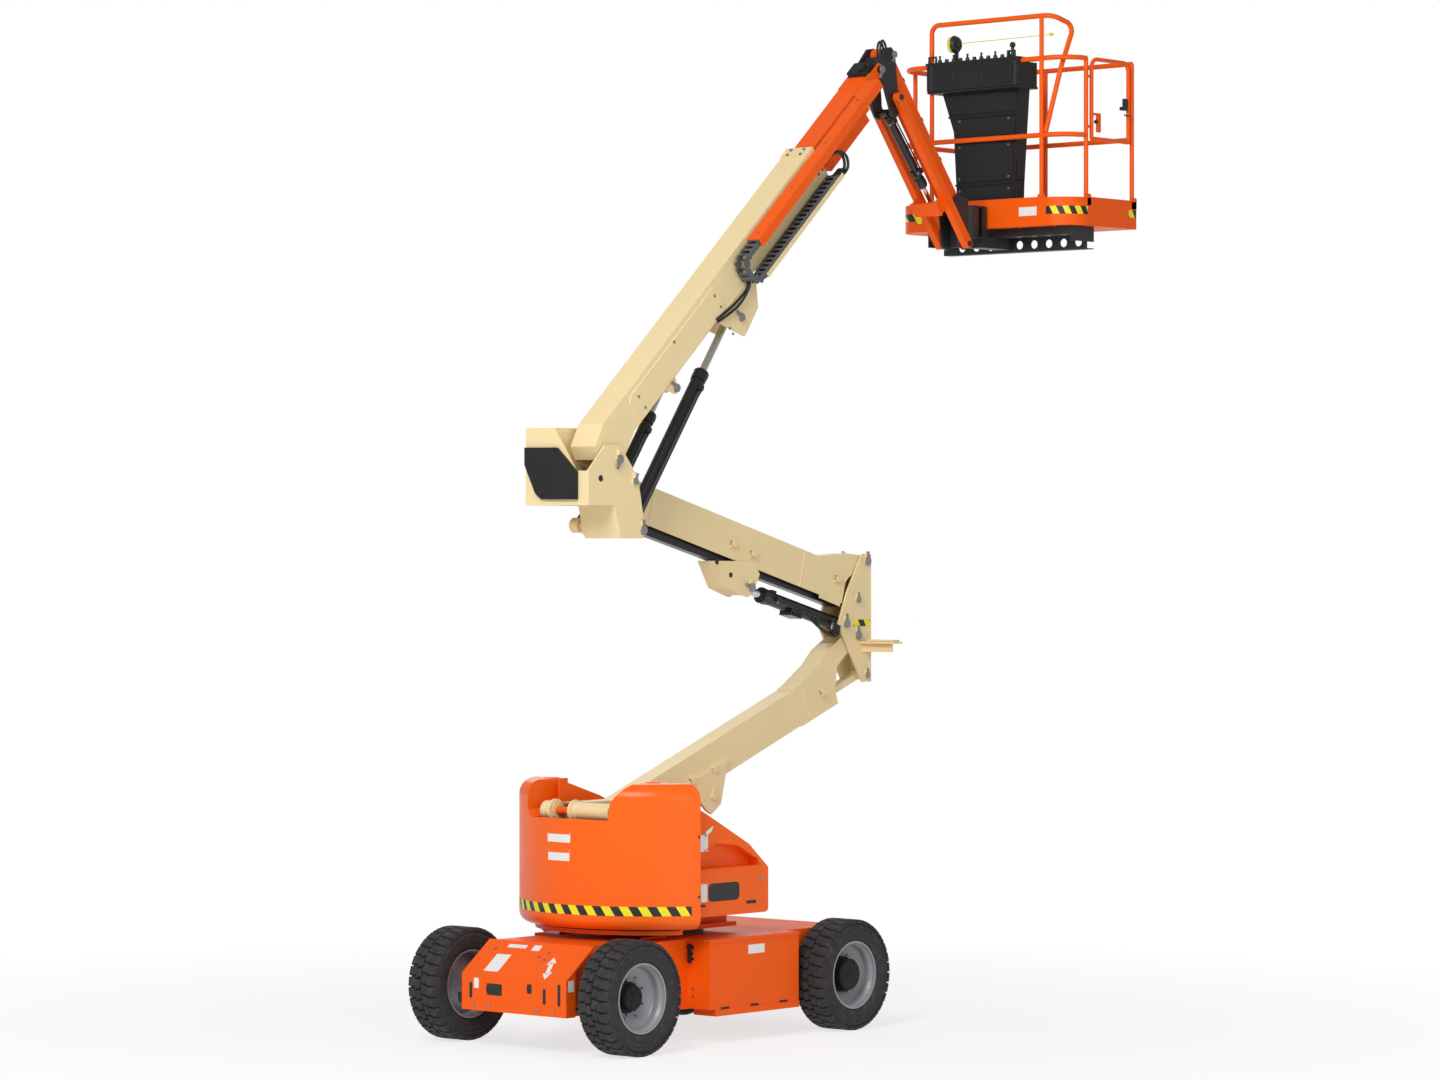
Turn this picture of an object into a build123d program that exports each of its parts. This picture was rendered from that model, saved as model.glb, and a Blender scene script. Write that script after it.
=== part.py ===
"""Articulating boom lift: chassis, turntable, two-boom tower, telescopic main boom, jib and platform.

Frame: millimetres, origin on the ground under the swing axis, +X towards the platform, +Y left, +Z up.
Every sub-part is one function that returns its solids; the table at the end writes one STEP file for each.
"""

import os
from math import atan2, cos, degrees, hypot, radians, sin

from build123d import *

# ---------------------------------------------------------------- driving dimensions: wheels and chassis
WHEELBASE = 2020.0
TRACK = 1436.0
TYRE_DIA = 708.0
TYRE_WIDTH = 236.0
LUG_DEPTH = 16.0
LUG_COUNT = 24
RIM_DIA = 430.0
RIM_DISH = 46.0
RIM_WALL = 9.0
HUB_DIA = 176.0
HUB_OUT = 96.0
KINGPIN_Y = 560.0
KNUCKLE_GAP = 0.6
AXLE_Z = TYRE_DIA / 2
AXLE_DEPTH = 120.0
AXLE_LONG = 110.0

FRAME_TOP = 648.0
FRAME_LOW = 215.0
FRAME_WALL = 12.0
NOSE_X = -1278.0
NOSE_HALF = 370.0
BUMPER_HALF = 440.0
BUMPER_BACK = -1195.0
NOSE_FLAT_X = -1030.0
NOSE_LIP_TOP = 455.0
WAIST_X = -540.0
WAIST_HALF = 520.0
TAIL_X = 1360.0
TAIL_HALF = 556.0
BOX_X0 = -262.0
BOX_X1 = 600.0
BOX_OUT = 705.0
BOX_SEAM = 0.3

# ---------------------------------------------------------------- turntable
BEARING_DIA = 640.0
BEARING_TALL = 40.0
DECK_THICK = 28.0
DECK_INSET = 30.0
SWING_GAP = 0.3
SHELL_RADIUS = 845.0
SHELL_WALL = 12.0
SHELL_LOW = 722.0
SHELL_TOP = 1624.0
SHELL_FRONT = -395.0
SHELL_ROUND_TOP = 95.0
SHELL_ROUND_LOW = 70.0
NOTCH_HALF = 330.0
NOTCH_FAR = 368.0
NOTCH_FLOOR = 1400.0
NOTCH_SHOULDER = 1505.0
NOTCH_FLARE = 425.0
NOTCH_CORNER = 45.0
BAY_REAR = -772.0
BALLAST_INNER = 655.0
BALLAST_STEP = 802.0
BALLAST_FOOT = 90.0
BALLAST_TOP = 1050.0
HOOD_OUT = 655.0
HOOD_IN = 335.0
HOOD_FRONT = 355.0
HOOD_LOW = 790.0
HOOD_WALL = 10.0
HOOD_GAP = 8.0

# ---------------------------------------------------------------- tower
TOWER_Y = 120.0
TOWER_WIDTH = 140.0
TOWER_DEPTH = 245.0
TOWER_WALL = 8.0
PLATE = 15.0
SIDE_GAP = 8.0
PIN_R = 24.0
BOSS_R = 52.0
LINK_WIDTH = 60.0
LINK_DEPTH = 44.0
ROOT = (-683.0, 1440.0)
ELBOW = (2067.0, 2490.0)
LINK_STEP = (95.0, -268.0)
CROWN_STEP = (99.0, 494.0)
CYL_STEP = (-122.0, 79.0)
WRIST = (-475.0, 3475.0)
UPPER_LINK_STEP = (-99.0, -257.0)
BAR_LINE = (3165.0, -0.2552)
BAR_ENDS = (-440.0, 1900.0)
BAR_DEPTH = 90.0
BAR_EYE = 32.0
LOWER_OFFSET = 228.0
UPPER_AXIS = ((-540.0, 3493.0), (1968.0, 2821.0))
SLEEVE_GROW = 9.0
LOWER_LUG = (619.0, 1476.0)
UPPER_LUG = (987.0, 2817.0)
LOWER_CYL_FOOT = (-420.0, 830.0)

# ---------------------------------------------------------------- upper upright and main boom
MAST_HALF = 267.0
MAST_REAR = -889.0
MAST_LOW = 3136.0
MAST_BOX_LOW = 3340.0
MAST_SILL = 3552.0
MAST_TOP = 3820.0
BOOM_Y = -135.0
BOOM_WIDTH = 210.0
BOOM_TOP = 232.0
BOOM_BOTTOM = 10.0
BOOM_WALL = 9.0
BOOM_TIP = 2790.0
BOOM_ANGLE = 42.4
BOOM_PIVOT = (-620.0, 3625.0)
LIFT_FOOT = (-400.0, 3187.0)
LIFT_EYE = (1497.0, -118.0)
LEVEL_FOOT = (-475.0, 3488.0)
LEVEL_EYE = (722.0, -43.0)
FLY_WIDTH = 170.0
FLY_TOP = 210.0
FLY_BOTTOM = 34.0
FLY_WALL = 9.0
FLY_BACK = 620.0
FLY_BOX_END = 3600.0
GUIDE_IN = 252.0
GUIDE_OUT = 352.0
GUIDE_TOP = 212.0
GUIDE_BACK = 1872.0
GUIDE_TIP = 3520.0
CHAIN_BEND = 1760.0
CHAIN_LOW = -28.0
CHAIN_LINK = 46.0
CHAIN_TIP = 2800.0
TRAY_THICK = 6.0

# ---------------------------------------------------------------- jib and platform
HEAD = (1990.0, 6240.0)
JIB_TOP = (2120.0, 6350.0)
JIB_LOW = (2165.0, 6068.0)
JIB_RUN = (737.0, -937.0)
JIB_WIDE = 110.0
JIB_WIDE_DEPTH = 88.0
JIB_SLIM = 50.0
JIB_SADDLE = -90.0
JIB_SLIM_DEPTH = 62.0
JIB_SLIM_Y = 114.0
JIB_PLATE_Y = 64.0
JIB_PLATE = 16.0
JIB_CYL_FOOT = (2175.0, 5968.0)
JIB_CYL_EYE = (2668.0, 5388.0)
ROTATOR_X = 3045.0
ROTATOR_DIA = 168.0
ROTATOR_LOW = 5192.0
ROTATOR_TALL = 196.0
DECK_X0 = 3200.0
DECK_LONG = 760.0
DECK_WIDE = 1520.0
DECK_Z = 5262.0
DECK_ROUND = 200.0
TOE_TALL = 180.0
TREAD_INSET = 62.0
TREAD_THICK = 3.0
TREAD_BACK = 172.0
TOE_THICK = 5.0
RAIL_DIA = 34.0
POST_DIA = 31.0
MID_RAIL_Z = 5865.0
TOP_RAIL_Z = 6385.0
HOOP_Z = 6672.0
HOOP_NEAR = 255.0
HOOP_FAR = 320.0
GATE_X0 = 3412.0

SEAT = 0.3                      # running clearance at a seat
HINGE_PIN = 9.0                 # hood hinges: pins, their place and height
HINGE_IN = 30.0
HINGE_SIDE = 17.0
HINGE_TALL = 50.0
HINGE_TAB = 8.0
DECK_SLIM = 400.0
HINGE_SWEEP = 38.0
HINGE_Z = (830.0, 900.0)
ARM_LONG = 150.0                # steering arm, kingpin to ball joint
ROD_DROP = 82.0                 # track rod below the axle
LEVEL_PIN_R = 18.0
LINK_PIN_R = 17.0
JIB_PIN_R = 14.0
PIN_STAND = 14.0                # a pin head's height on its plate


# ---------------------------------------------------------------- small builders
def slab(points, y0, y1):
    """Plate of the XZ outline `points`, from y0 to y1."""
    face = Plane.XZ * make_face(Polyline(*points, close=True))
    return Pos(0, y1, 0) * extrude(face, y1 - y0)


def plan(points, z0, z1):
    """Plate of the XY outline `points`, from z0 to z1."""
    return Pos(0, 0, z0) * extrude(make_face(Polyline(*points, close=True)), z1 - z0)


def block(x0, x1, y0, y1, z0, z1):
    """Box between two corners."""
    return Pos((x0 + x1) / 2, (y0 + y1) / 2, (z0 + z1) / 2) * Box(x1 - x0, y1 - y0, z1 - z0)


def round_y(at, radius, y0, y1):
    """Cylinder along Y at the (X, Z) point `at`."""
    return Pos(at[0], (y0 + y1) / 2, at[1]) * (Rot(90, 0, 0) * Cylinder(radius, y1 - y0))


def round_z(x, y, radius, z0, z1):
    """Upright cylinder."""
    return Pos(x, y, (z0 + z1) / 2) * Cylinder(radius, z1 - z0)


def both(make, y):
    """The piece made at +y and at -y round the chassis centre line."""
    return [make(y), make(-y)]


def add(a, step):
    return (a[0] + step[0], a[1] + step[1])


def run(a, b):
    """Length and angle in degrees of the line from a to b in XZ."""
    return hypot(b[0] - a[0], b[1] - a[1]), degrees(atan2(b[1] - a[1], b[0] - a[0]))


def laid(piece, at, angle, y=0.0):
    """Turns a piece drawn along +X by `angle` in XZ and carries its origin to (X, Z) `at`."""
    return Pos(at[0], y, at[1]) * (Rot(0, -angle, 0) * piece)


def beam(x0, x1, width, z0, z1, wall, open_low=False):
    """Hollow rectangular tube along X, closed or with its underside open."""
    outer = block(x0, x1, -width / 2, width / 2, z0, z1)
    low = z0 - 1 if open_low else z0 + wall
    return outer - block(x0 - 1, x1 + 1, -width / 2 + wall, width / 2 - wall, low, z1 - wall)


def along_x(x0, x1, radius):
    """Cylinder along +X from x0 to x1."""
    return Pos((x0 + x1) / 2, 0, 0) * (Rot(0, 90, 0) * Cylinder(radius, x1 - x0))


def barrel(length, radius, eye_half, pin_r, bore_r):
    """Cylinder barrel along +X from its foot eye at the origin, with gland and port block."""
    eye_r = max(radius * 0.94, pin_r + 12)
    body = along_x(eye_r * 0.8, length, radius) + along_x(length - 70, length - 10, radius + 6)
    body = body + round_y((0, 0), eye_r, -eye_half, eye_half)
    body = body + block(length - 150, length - 110, -14, 14, -radius - 14, -radius + 6)
    body = body - along_x(2 * eye_r, length + 1, bore_r)
    return body - round_y((0, 0), pin_r + SEAT, -eye_half - 1, eye_half + 1)


def rod(start, length, radius, eye_half, pin_r, pin_half):
    """Piston rod along +X from `start` inside its barrel to its eye and pin at `length`."""
    shaft = along_x(start, length - pin_r * 0.5, radius)
    eye = round_y((length, 0), pin_r + 10, -eye_half, eye_half)
    return shaft + eye + round_y((length, 0), pin_r, -pin_half, pin_half)


def heads(at, y_near, y_far, radius=PIN_R):
    """Pin heads with keeper bars outside two plates."""
    parts = []
    for y0, y1 in ((y_near - PIN_STAND, y_near), (y_far, y_far + PIN_STAND)):
        keeper = block(at[0] - 9, at[0] + 9, y0, y0 + PIN_STAND, at[1], at[1] + 2.5 * radius)
        parts.append(round_y(at, radius, y0, y1) + keeper)
    return parts


def fused(*parts):
    """One solid, or a list of them, joined."""
    flat = []
    for p in parts:
        flat.extend(p if isinstance(p, (list, tuple)) else [p])
    total = flat[0]
    for p in flat[1:]:
        total = total + p
    return total


# ---------------------------------------------------------------- chassis
# centre y, low z, high z, width of the slots and the lashing hole in the front plate
NOSE_HOLES = ((363.0, 305.0, 400.0, 22.0), (165.0, 331.0, 401.0, 130.0), (-132.0, 360.0, 417.0, 38.0),
              (-257.0, 302.0, 396.0, 22.0), (-380.0, 298.0, 430.0, 22.0))


def bumper():
    """Wide front beam of the nose, open at the back, and the wide plate that lies on the slope."""
    fall = (FRAME_TOP - NOSE_LIP_TOP) / (NOSE_FLAT_X - NOSE_X)
    back_top = NOSE_LIP_TOP + fall * (BUMPER_BACK - NOSE_X)
    beam_shape = slab([(NOSE_X, FRAME_LOW + 15), (NOSE_X, NOSE_LIP_TOP), (BUMPER_BACK, back_top),
                       (BUMPER_BACK, FRAME_LOW + 15)], -BUMPER_HALF, BUMPER_HALF)
    inside = BUMPER_HALF - FRAME_WALL
    room = slab([(NOSE_X + FRAME_WALL, FRAME_LOW), (NOSE_X + FRAME_WALL, NOSE_LIP_TOP - 9),
                 (BUMPER_BACK + 1, back_top - FRAME_WALL - 4), (BUMPER_BACK + 1, FRAME_LOW)], -inside,
                 inside)
    cover = slab([(NOSE_X, NOSE_LIP_TOP), (NOSE_FLAT_X, FRAME_TOP),
                  (NOSE_FLAT_X, FRAME_TOP - FRAME_WALL - 3),
                  (NOSE_X, NOSE_LIP_TOP - FRAME_WALL - 3)], -BUMPER_HALF, BUMPER_HALF)
    return fused(beam_shape - room, cover)


def chassis_frame():
    nose = slab([(NOSE_X, FRAME_LOW + 15), (NOSE_X, NOSE_LIP_TOP), (NOSE_FLAT_X, FRAME_TOP),
                 (WAIST_X + 20, FRAME_TOP), (WAIST_X + 20, FRAME_LOW)], -NOSE_HALF, NOSE_HALF)
    hollow = slab([(NOSE_X + FRAME_WALL, FRAME_LOW - 5), (NOSE_X + FRAME_WALL, NOSE_LIP_TOP - 9),
                   (NOSE_FLAT_X + 3, FRAME_TOP - FRAME_WALL), (WAIST_X - 60, FRAME_TOP - FRAME_WALL),
                   (WAIST_X - 60, FRAME_LOW - 5)], FRAME_WALL - NOSE_HALF, NOSE_HALF - FRAME_WALL)
    waist = block(WAIST_X, BOX_X1 + 30, -WAIST_HALF, WAIST_HALF, FRAME_LOW, FRAME_TOP)
    tail = slab([(BOX_X1 + SEAT, FRAME_LOW), (BOX_X1 + SEAT, FRAME_TOP), (TAIL_X - 110, FRAME_TOP),
                 (TAIL_X, FRAME_TOP - 130), (TAIL_X, FRAME_LOW + 60), (TAIL_X - 60, FRAME_LOW)],
                -TAIL_HALF, TAIL_HALF)
    frame = nose - hollow + waist + tail
    room = WAIST_HALF - FRAME_WALL
    frame = frame - block(WAIST_X + FRAME_WALL, BOX_X1 - 40, -room, room,
                          FRAME_LOW + FRAME_WALL, FRAME_TOP - 2 * FRAME_WALL)
    axle_slot = block(-WHEELBASE / 2 - AXLE_LONG / 2 - SEAT, -WHEELBASE / 2 + AXLE_LONG / 2 + SEAT,
                      -NOSE_HALF - 1, NOSE_HALF + 1,
                      AXLE_Z - AXLE_DEPTH / 2 - SEAT, AXLE_Z + AXLE_DEPTH / 2 + SEAT)
    frame = frame - axle_slot
    rod_x, rod_z = -WHEELBASE / 2 - ARM_LONG, AXLE_Z - ROD_DROP
    frame = frame - block(rod_x - 24, rod_x + 24, -NOSE_HALF - 1, NOSE_HALF + 1, rod_z - 24, rod_z + 24)
    frame = fused(frame, bumper())
    for y, z0, z1, wide in NOSE_HOLES:
        frame = frame - block(NOSE_X - 5, NOSE_X + 25, y - wide / 2, y + wide / 2, z0, z1)
    axle_hole = Pos(WHEELBASE / 2, 0, AXLE_Z) * (Rot(90, 0, 0) * Cylinder(70 + SEAT, 2 * TAIL_HALF + 10))
    return frame - axle_hole


def battery_box(side):
    """Battery compartment with its lid, outside the frame between the wheels."""
    inner = WAIST_HALF + BOX_SEAM
    y0, y1 = sorted((side * inner, side * BOX_OUT))
    body = block(BOX_X0, BOX_X1 - 8, y0, y1, FRAME_LOW + 5, FRAME_TOP - 14)
    lid = block(BOX_X0 - 8, BOX_X1, y0, y1 + (6 if side > 0 else 0), FRAME_TOP - 14, FRAME_TOP + 4)
    lip = block(BOX_X0 + 60, BOX_X1 - 8, y0, y1, FRAME_LOW - 40, FRAME_LOW + 5)
    if side < 0:
        lid = block(BOX_X0 - 8, BOX_X1, y0 - 6, y1, FRAME_TOP - 14, FRAME_TOP + 4)
    return body + lid + lip


def steer_axle():
    """Axle beam with a kingpin fork at each end."""
    x = -WHEELBASE / 2
    parts = [block(x - AXLE_LONG / 2, x + AXLE_LONG / 2, -KINGPIN_Y + 70, KINGPIN_Y - 70,
                   AXLE_Z - AXLE_DEPTH / 2, AXLE_Z + AXLE_DEPTH / 2)]
    for side in (-1, 1):
        y0, y1 = sorted((side * (KINGPIN_Y - 95), side * (KINGPIN_Y - 60)))
        parts.append(block(x - 48, x + 48, y0, y1, AXLE_Z - 105, AXLE_Z + 105))
        for z in (AXLE_Z - 105, AXLE_Z + 80):
            y0, y1 = sorted((side * (KINGPIN_Y - 95), side * KINGPIN_Y))
            parts.append(block(x - 40, x + 40, y0, y1, z, z + 25))
            parts.append(round_z(x, side * KINGPIN_Y, 40, z, z + 25))
    return fused(parts)


def knuckle(side):
    """Steering knuckle: kingpin barrel, stub axle and steering arm."""
    x, y = -WHEELBASE / 2, side * KINGPIN_Y
    half = 80 - KNUCKLE_GAP / 2
    y0, y1 = sorted((y, side * (TRACK / 2 - RIM_DISH - SEAT)))
    stub = Pos(x, (y0 + y1) / 2, AXLE_Z) * (Rot(90, 0, 0) * Cylinder(38, y1 - y0))
    arm = block(x - ARM_LONG, x, *sorted((y - side * 18, y + side * 18)), AXLE_Z - 60, AXLE_Z - 38)
    eye = round_z(x - ARM_LONG, y, 20, AXLE_Z - 60, AXLE_Z - 38)
    return round_z(x, y, 34, AXLE_Z - half, AXLE_Z + half) + stub + arm + eye


def tie_rod():
    """Track rod between the two steering arms."""
    x, z = -WHEELBASE / 2 - ARM_LONG, AXLE_Z - ROD_DROP
    bar = Pos(x, 0, z) * (Rot(90, 0, 0) * Cylinder(13, 2 * KINGPIN_Y))
    return fused(bar, [round_z(x, s * KINGPIN_Y, 18, z - 16, AXLE_Z - 60 - SEAT) for s in (-1, 1)])


def drive_axle():
    """Drive axle tube with a gearbox flange at each end."""
    x, reach = WHEELBASE / 2, TRACK / 2 - RIM_DISH - SEAT
    tube = Pos(x, 0, AXLE_Z) * (Rot(90, 0, 0) * Cylinder(70, 2 * TAIL_HALF))
    ends = []
    for side in (-1, 1):
        y0, y1 = sorted((side * (TAIL_HALF + SEAT), side * reach))
        ends.append(Pos(x, (y0 + y1) / 2, AXLE_Z) * (Rot(90, 0, 0) * Cylinder(88, y1 - y0)))
    return fused(tube, [Pos(x, s * TAIL_HALF, AXLE_Z) * (Rot(90, 0, 0) * Cylinder(60, 20)) for s in (-1, 1)],
                 ends)


def tyre(x, side):
    """Tyre with its tread blocks, round Y."""
    r, w = TYRE_DIA / 2, TYRE_WIDTH
    bead = RIM_DIA / 2
    core = r - LUG_DEPTH
    shape = Polyline((bead, -w * 0.40), (bead + 26, -w * 0.48), (core - 26, -w * 0.49), (core, -w * 0.40),
                     (core, w * 0.40), (core - 26, w * 0.49), (bead + 26, w * 0.48), (bead, w * 0.40),
                     close=True)
    body = revolve(make_face(shape), Axis.Y)
    body = body.rotate(Axis.Y, 0)
    lugs = []
    pitch = 360.0 / LUG_COUNT
    for n in range(LUG_COUNT):
        for hand in (-1, 1):
            lug = Pos(0, hand * w * 0.235, 0) * (Rot(0, 0, hand * 24) * Box(34, w * 0.47, 2 * LUG_DEPTH + 6))
            lug = Pos(0, 0, r - LUG_DEPTH - 3) * lug
            lugs.append(Rot(0, (n + 0.25 * hand) * pitch, 0) * lug)
    trim = Pos(0, 0, 0) * (Rot(90, 0, 0) * Cylinder(r, w))
    treads = [(lug & trim) for lug in lugs]
    return Pos(x, side * TRACK / 2, AXLE_Z) * fused(body, treads)


def rim(x, side, driven):
    """Steel disc wheel: rim, dished disc and hub."""
    bead, w = RIM_DIA / 2 - SEAT, TYRE_WIDTH
    half = w * 0.42
    profile = Polyline((bead, half), (bead, half * 0.80), (bead - 12, half * 0.6), (bead - 12, -half * 0.8),
                       (bead, -half), (bead - RIM_WALL, -half), (bead - 12 - RIM_WALL, -half * 0.75),
                       (bead - 12 - RIM_WALL, 0), (112, -RIM_DISH), (0, -RIM_DISH), (0, -RIM_DISH + 14),
                       (112, -RIM_DISH + 14), (bead - 12 - RIM_WALL, 14),
                       (bead - 12 - RIM_WALL, half * 0.62), (bead - RIM_WALL, half * 0.82),
                       (bead - RIM_WALL, half), close=True)
    wheel = revolve(make_face(profile), Axis.Y)
    hub = Pos(0, -RIM_DISH + 14 + HUB_OUT / 2, 0) * (Rot(90, 0, 0) * Cylinder(HUB_DIA / 2, HUB_OUT))
    if not driven:
        hub = Pos(0, -RIM_DISH + 14 + 30, 0) * (Rot(90, 0, 0) * Cylinder(HUB_DIA * 0.36, 60))
    wheel = wheel + hub
    for n in range(8):
        stud = Pos(105, -RIM_DISH + 22, 0) * (Rot(90, 0, 0) * Cylinder(9, 22))
        wheel = wheel + Rot(0, 45 * n, 0) * stud
    if side < 0:
        wheel = Rot(0, 0, 180) * wheel
    return Pos(x, side * TRACK / 2, AXLE_Z) * wheel


def swing_bearing():
    return round_z(0, 0, BEARING_DIA / 2, FRAME_TOP + SEAT, FRAME_TOP + BEARING_TALL)


# ---------------------------------------------------------------- turntable
DECK_LOW = FRAME_TOP + BEARING_TALL + SWING_GAP
DECK_TOP = DECK_LOW + DECK_THICK


def turntable_frame():
    """Deck plate and the two plates that carry the tower, the lower cylinder and the links."""
    arc = SHELL_RADIUS - SHELL_ROUND_LOW - DECK_INSET
    disc = round_z(0, 0, arc, DECK_LOW, DECK_TOP) & block(-arc, SHELL_FRONT, -600, 600, 0, 900)
    disc = disc + block(SHELL_FRONT - 1, HOOD_FRONT - 12, -DECK_SLIM, DECK_SLIM, DECK_LOW, DECK_TOP)
    near = TOWER_Y - TOWER_WIDTH / 2 - SIDE_GAP
    far = TOWER_Y + TOWER_WIDTH / 2 + SIDE_GAP
    outline = [(ROOT[0] - 70, ROOT[1]), (ROOT[0] - 45, ROOT[1] + 48), (ROOT[0], ROOT[1] + 66),
               (ROOT[0] + 48, ROOT[1] + 48), (ROOT[0] + 190, 1200), (-300, 900), (-300, DECK_TOP - 2),
               (-590, DECK_TOP - 2), (-600, 1150)]
    parts = [disc]
    for y0, y1 in ((near - PLATE, near), (far, far + PLATE)):
        parts.append(slab(outline, y0, y1))
    root_pin = round_y(ROOT, PIN_R, near - 100, far + 60)
    sleeve = round_y(ROOT, 50, near - PLATE - 160, near - PLATE) + round_y(ROOT, 50, far + PLATE, far + 70)
    link_root = add(ROOT, LINK_STEP)
    parts += [root_pin, sleeve, round_y(link_root, PIN_R * 0.7, near - 5, far + 5),
              round_y(LOWER_CYL_FOOT, PIN_R, near - 5, far + 5)]
    top = HOOD_LOW + 190
    guard = {
        -1: [(-330, DECK_TOP - 2), (-330, top), (HOOD_FRONT, top), (HOOD_FRONT, DECK_TOP - 2)],
        1: [(-549, DECK_TOP - 2), (-549, SHELL_TOP - 2), (-178, 1508), (170, 1350), (HOOD_FRONT, 1060),
            (HOOD_FRONT, DECK_TOP - 2)],
    }
    for s in (-1, 1):
        inner, outer = HOOD_IN - 45, HOOD_IN - 27
        parts.append(slab(guard[s], *sorted((s * inner, s * outer))))
        hx, hy = HOOD_FRONT - HINGE_IN, s * (HOOD_IN + HINGE_SIDE)
        for z in HINGE_Z:
            parts.append(round_z(hx, hy, HINGE_PIN, z - 2, z + HINGE_TALL + HINGE_TAB))
            tab_z = z + HINGE_TALL + SEAT
            tab_y = sorted((s * (outer - 2), hy))
            parts.append(block(hx - HINGE_PIN, hx + HINGE_PIN, *tab_y, tab_z, tab_z + HINGE_TAB))
    return fused(parts)


def tail_shell():
    """Moulded tail cover, round on the swing circle, with the notch that the tower folds into."""
    def solid(radius, top, low, front, grow, rim_round, foot_round):
        body = round_z(0, 0, radius, low, top)
        body = fillet(body.edges().filter_by(GeomType.CIRCLE).sort_by(Axis.Z)[-1], rim_round)
        body = fillet(body.edges().filter_by(GeomType.CIRCLE).sort_by(Axis.Z)[0], foot_round)
        body = body & block(-radius - 1, front, -radius - 1, radius + 1, low - 1, top + 1)
        near, far, floor = -NOTCH_HALF - grow, NOTCH_FAR + grow, NOTCH_FLOOR - grow
        wedge = [(near, floor), (near - 6, NOTCH_SHOULDER), (-NOTCH_FLARE - grow, SHELL_TOP + 2),
                 (far, SHELL_TOP + 2),
                 (far, floor + NOTCH_CORNER), (far - NOTCH_CORNER, floor)]
        cut = Plane.YZ * make_face(Polyline(*wedge, close=True))
        return body - Pos(-radius - 5, 0, 0) * extrude(cut, radius + 400)

    outer = solid(SHELL_RADIUS, SHELL_TOP, SHELL_LOW, SHELL_FRONT, 0, SHELL_ROUND_TOP, SHELL_ROUND_LOW)
    t = SHELL_WALL
    inner = solid(SHELL_RADIUS - t, SHELL_TOP - t, SHELL_LOW - 1, SHELL_FRONT + 5, t,
                  SHELL_ROUND_TOP - t, SHELL_ROUND_LOW - t)
    shell = outer - inner
    return shell - block(BAY_REAR, SHELL_FRONT + 10, -NOTCH_HALF + 12, NOTCH_HALF - 12, SHELL_LOW + 60,
                         NOTCH_FLOOR + 5)


def counterweight():
    """Cast ballast on the deck behind the tower."""
    ring = round_z(0, 0, SHELL_RADIUS - SHELL_WALL - SEAT, BALLAST_STEP, BALLAST_TOP)
    ring = ring + round_z(0, 0, SHELL_RADIUS - BALLAST_FOOT, DECK_TOP, BALLAST_STEP + 1)
    ring = ring - round_z(0, 0, BALLAST_INNER, DECK_TOP - 1, BALLAST_TOP + 1)
    return ring & block(-SHELL_RADIUS, SHELL_FRONT - 20, -595, 595, 0, BALLAST_TOP + 1)


def side_hood(side):
    """Swing-out side cover with its arched recess."""
    x0, x1 = SHELL_FRONT + HOOD_GAP, HOOD_FRONT
    outline = [(x0, HOOD_LOW), (x0, 1500), (-225, 1424), (170, 1225), (x1, 1070), (x1, HOOD_LOW + 15),
               (x1 - 25, HOOD_LOW)]
    y0, y1 = sorted((side * HOOD_IN, side * HOOD_OUT))
    body = slab(outline, y0, y1)
    w = HOOD_WALL
    inner = [(x0 + w, HOOD_LOW - 5), (x0 + w, 1500 - 2 * w), (-225 + w * 0.4, 1424 - w),
             (170 - w * 0.3, 1225 - w), (x1 - w, 1070 - w), (x1 - w, HOOD_LOW - 5)]
    v0, v1 = sorted((side * (HOOD_IN - 5), side * (HOOD_OUT - w)))
    shell = body - slab(inner, v0, v1)
    arch = [(x0 + 60, 1085), (x0 + 60, 1165), (-150, 1245), (60, 1225), (250, 1130), (270, 1085)]
    shell = shell - slab(arch, *sorted((side * (HOOD_OUT - 2 * w), side * (HOOD_OUT + 1))))
    pocket = slab([(a - (w if a < 0 else -w), b - w if b < 1100 else b + w) for a, b in arch],
                  *sorted((side * (HOOD_OUT - 90), side * (HOOD_OUT - w / 2))))
    hole = slab(arch, *sorted((side * (HOOD_OUT - 90 + w), side * (HOOD_OUT + 1))))
    hood = (shell + (pocket & body)) - hole
    hx, hy = HOOD_FRONT - HINGE_IN, side * (HOOD_IN + HINGE_SIDE)
    for z in HINGE_Z:
        knuckles = round_z(hx, hy, HINGE_PIN + 7, z, z + HINGE_TALL)
        leaf = block(hx, x1 - w + 1, hy - 6, hy + 6, z, z + HINGE_TALL)
        hood = hood + ((knuckles + leaf) - round_z(hx, hy, HINGE_PIN + SEAT, z - 1, z + HINGE_TALL + 1))
        hood = hood - round_z(hx, hy, HINGE_SWEEP, z + HINGE_TALL, z + HINGE_TALL + HINGE_TAB + 4)
    return hood


# ---------------------------------------------------------------- tower
LOWER_LONG, LOWER_ANGLE = run(ROOT, ELBOW)
CROWN = add(ELBOW, CROWN_STEP)
UPPER_CYL_FOOT = add(ELBOW, CYL_STEP)
NEAR = TOWER_Y - TOWER_WIDTH / 2
FAR = TOWER_Y + TOWER_WIDTH / 2


def in_line(at, angle, points):
    """Points given along and across a line that starts at `at`, as XZ points."""
    c, s = cos(radians(angle)), sin(radians(angle))
    return [(at[0] + u * c - v * s, at[1] + u * s + v * c) for u, v in points]


def cheeks(points, y0, y1, thick):
    """A pair of equal plates just inside y0 and y1."""
    return [slab(points, y0, y0 + thick), slab(points, y1 - thick, y1)]


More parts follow.
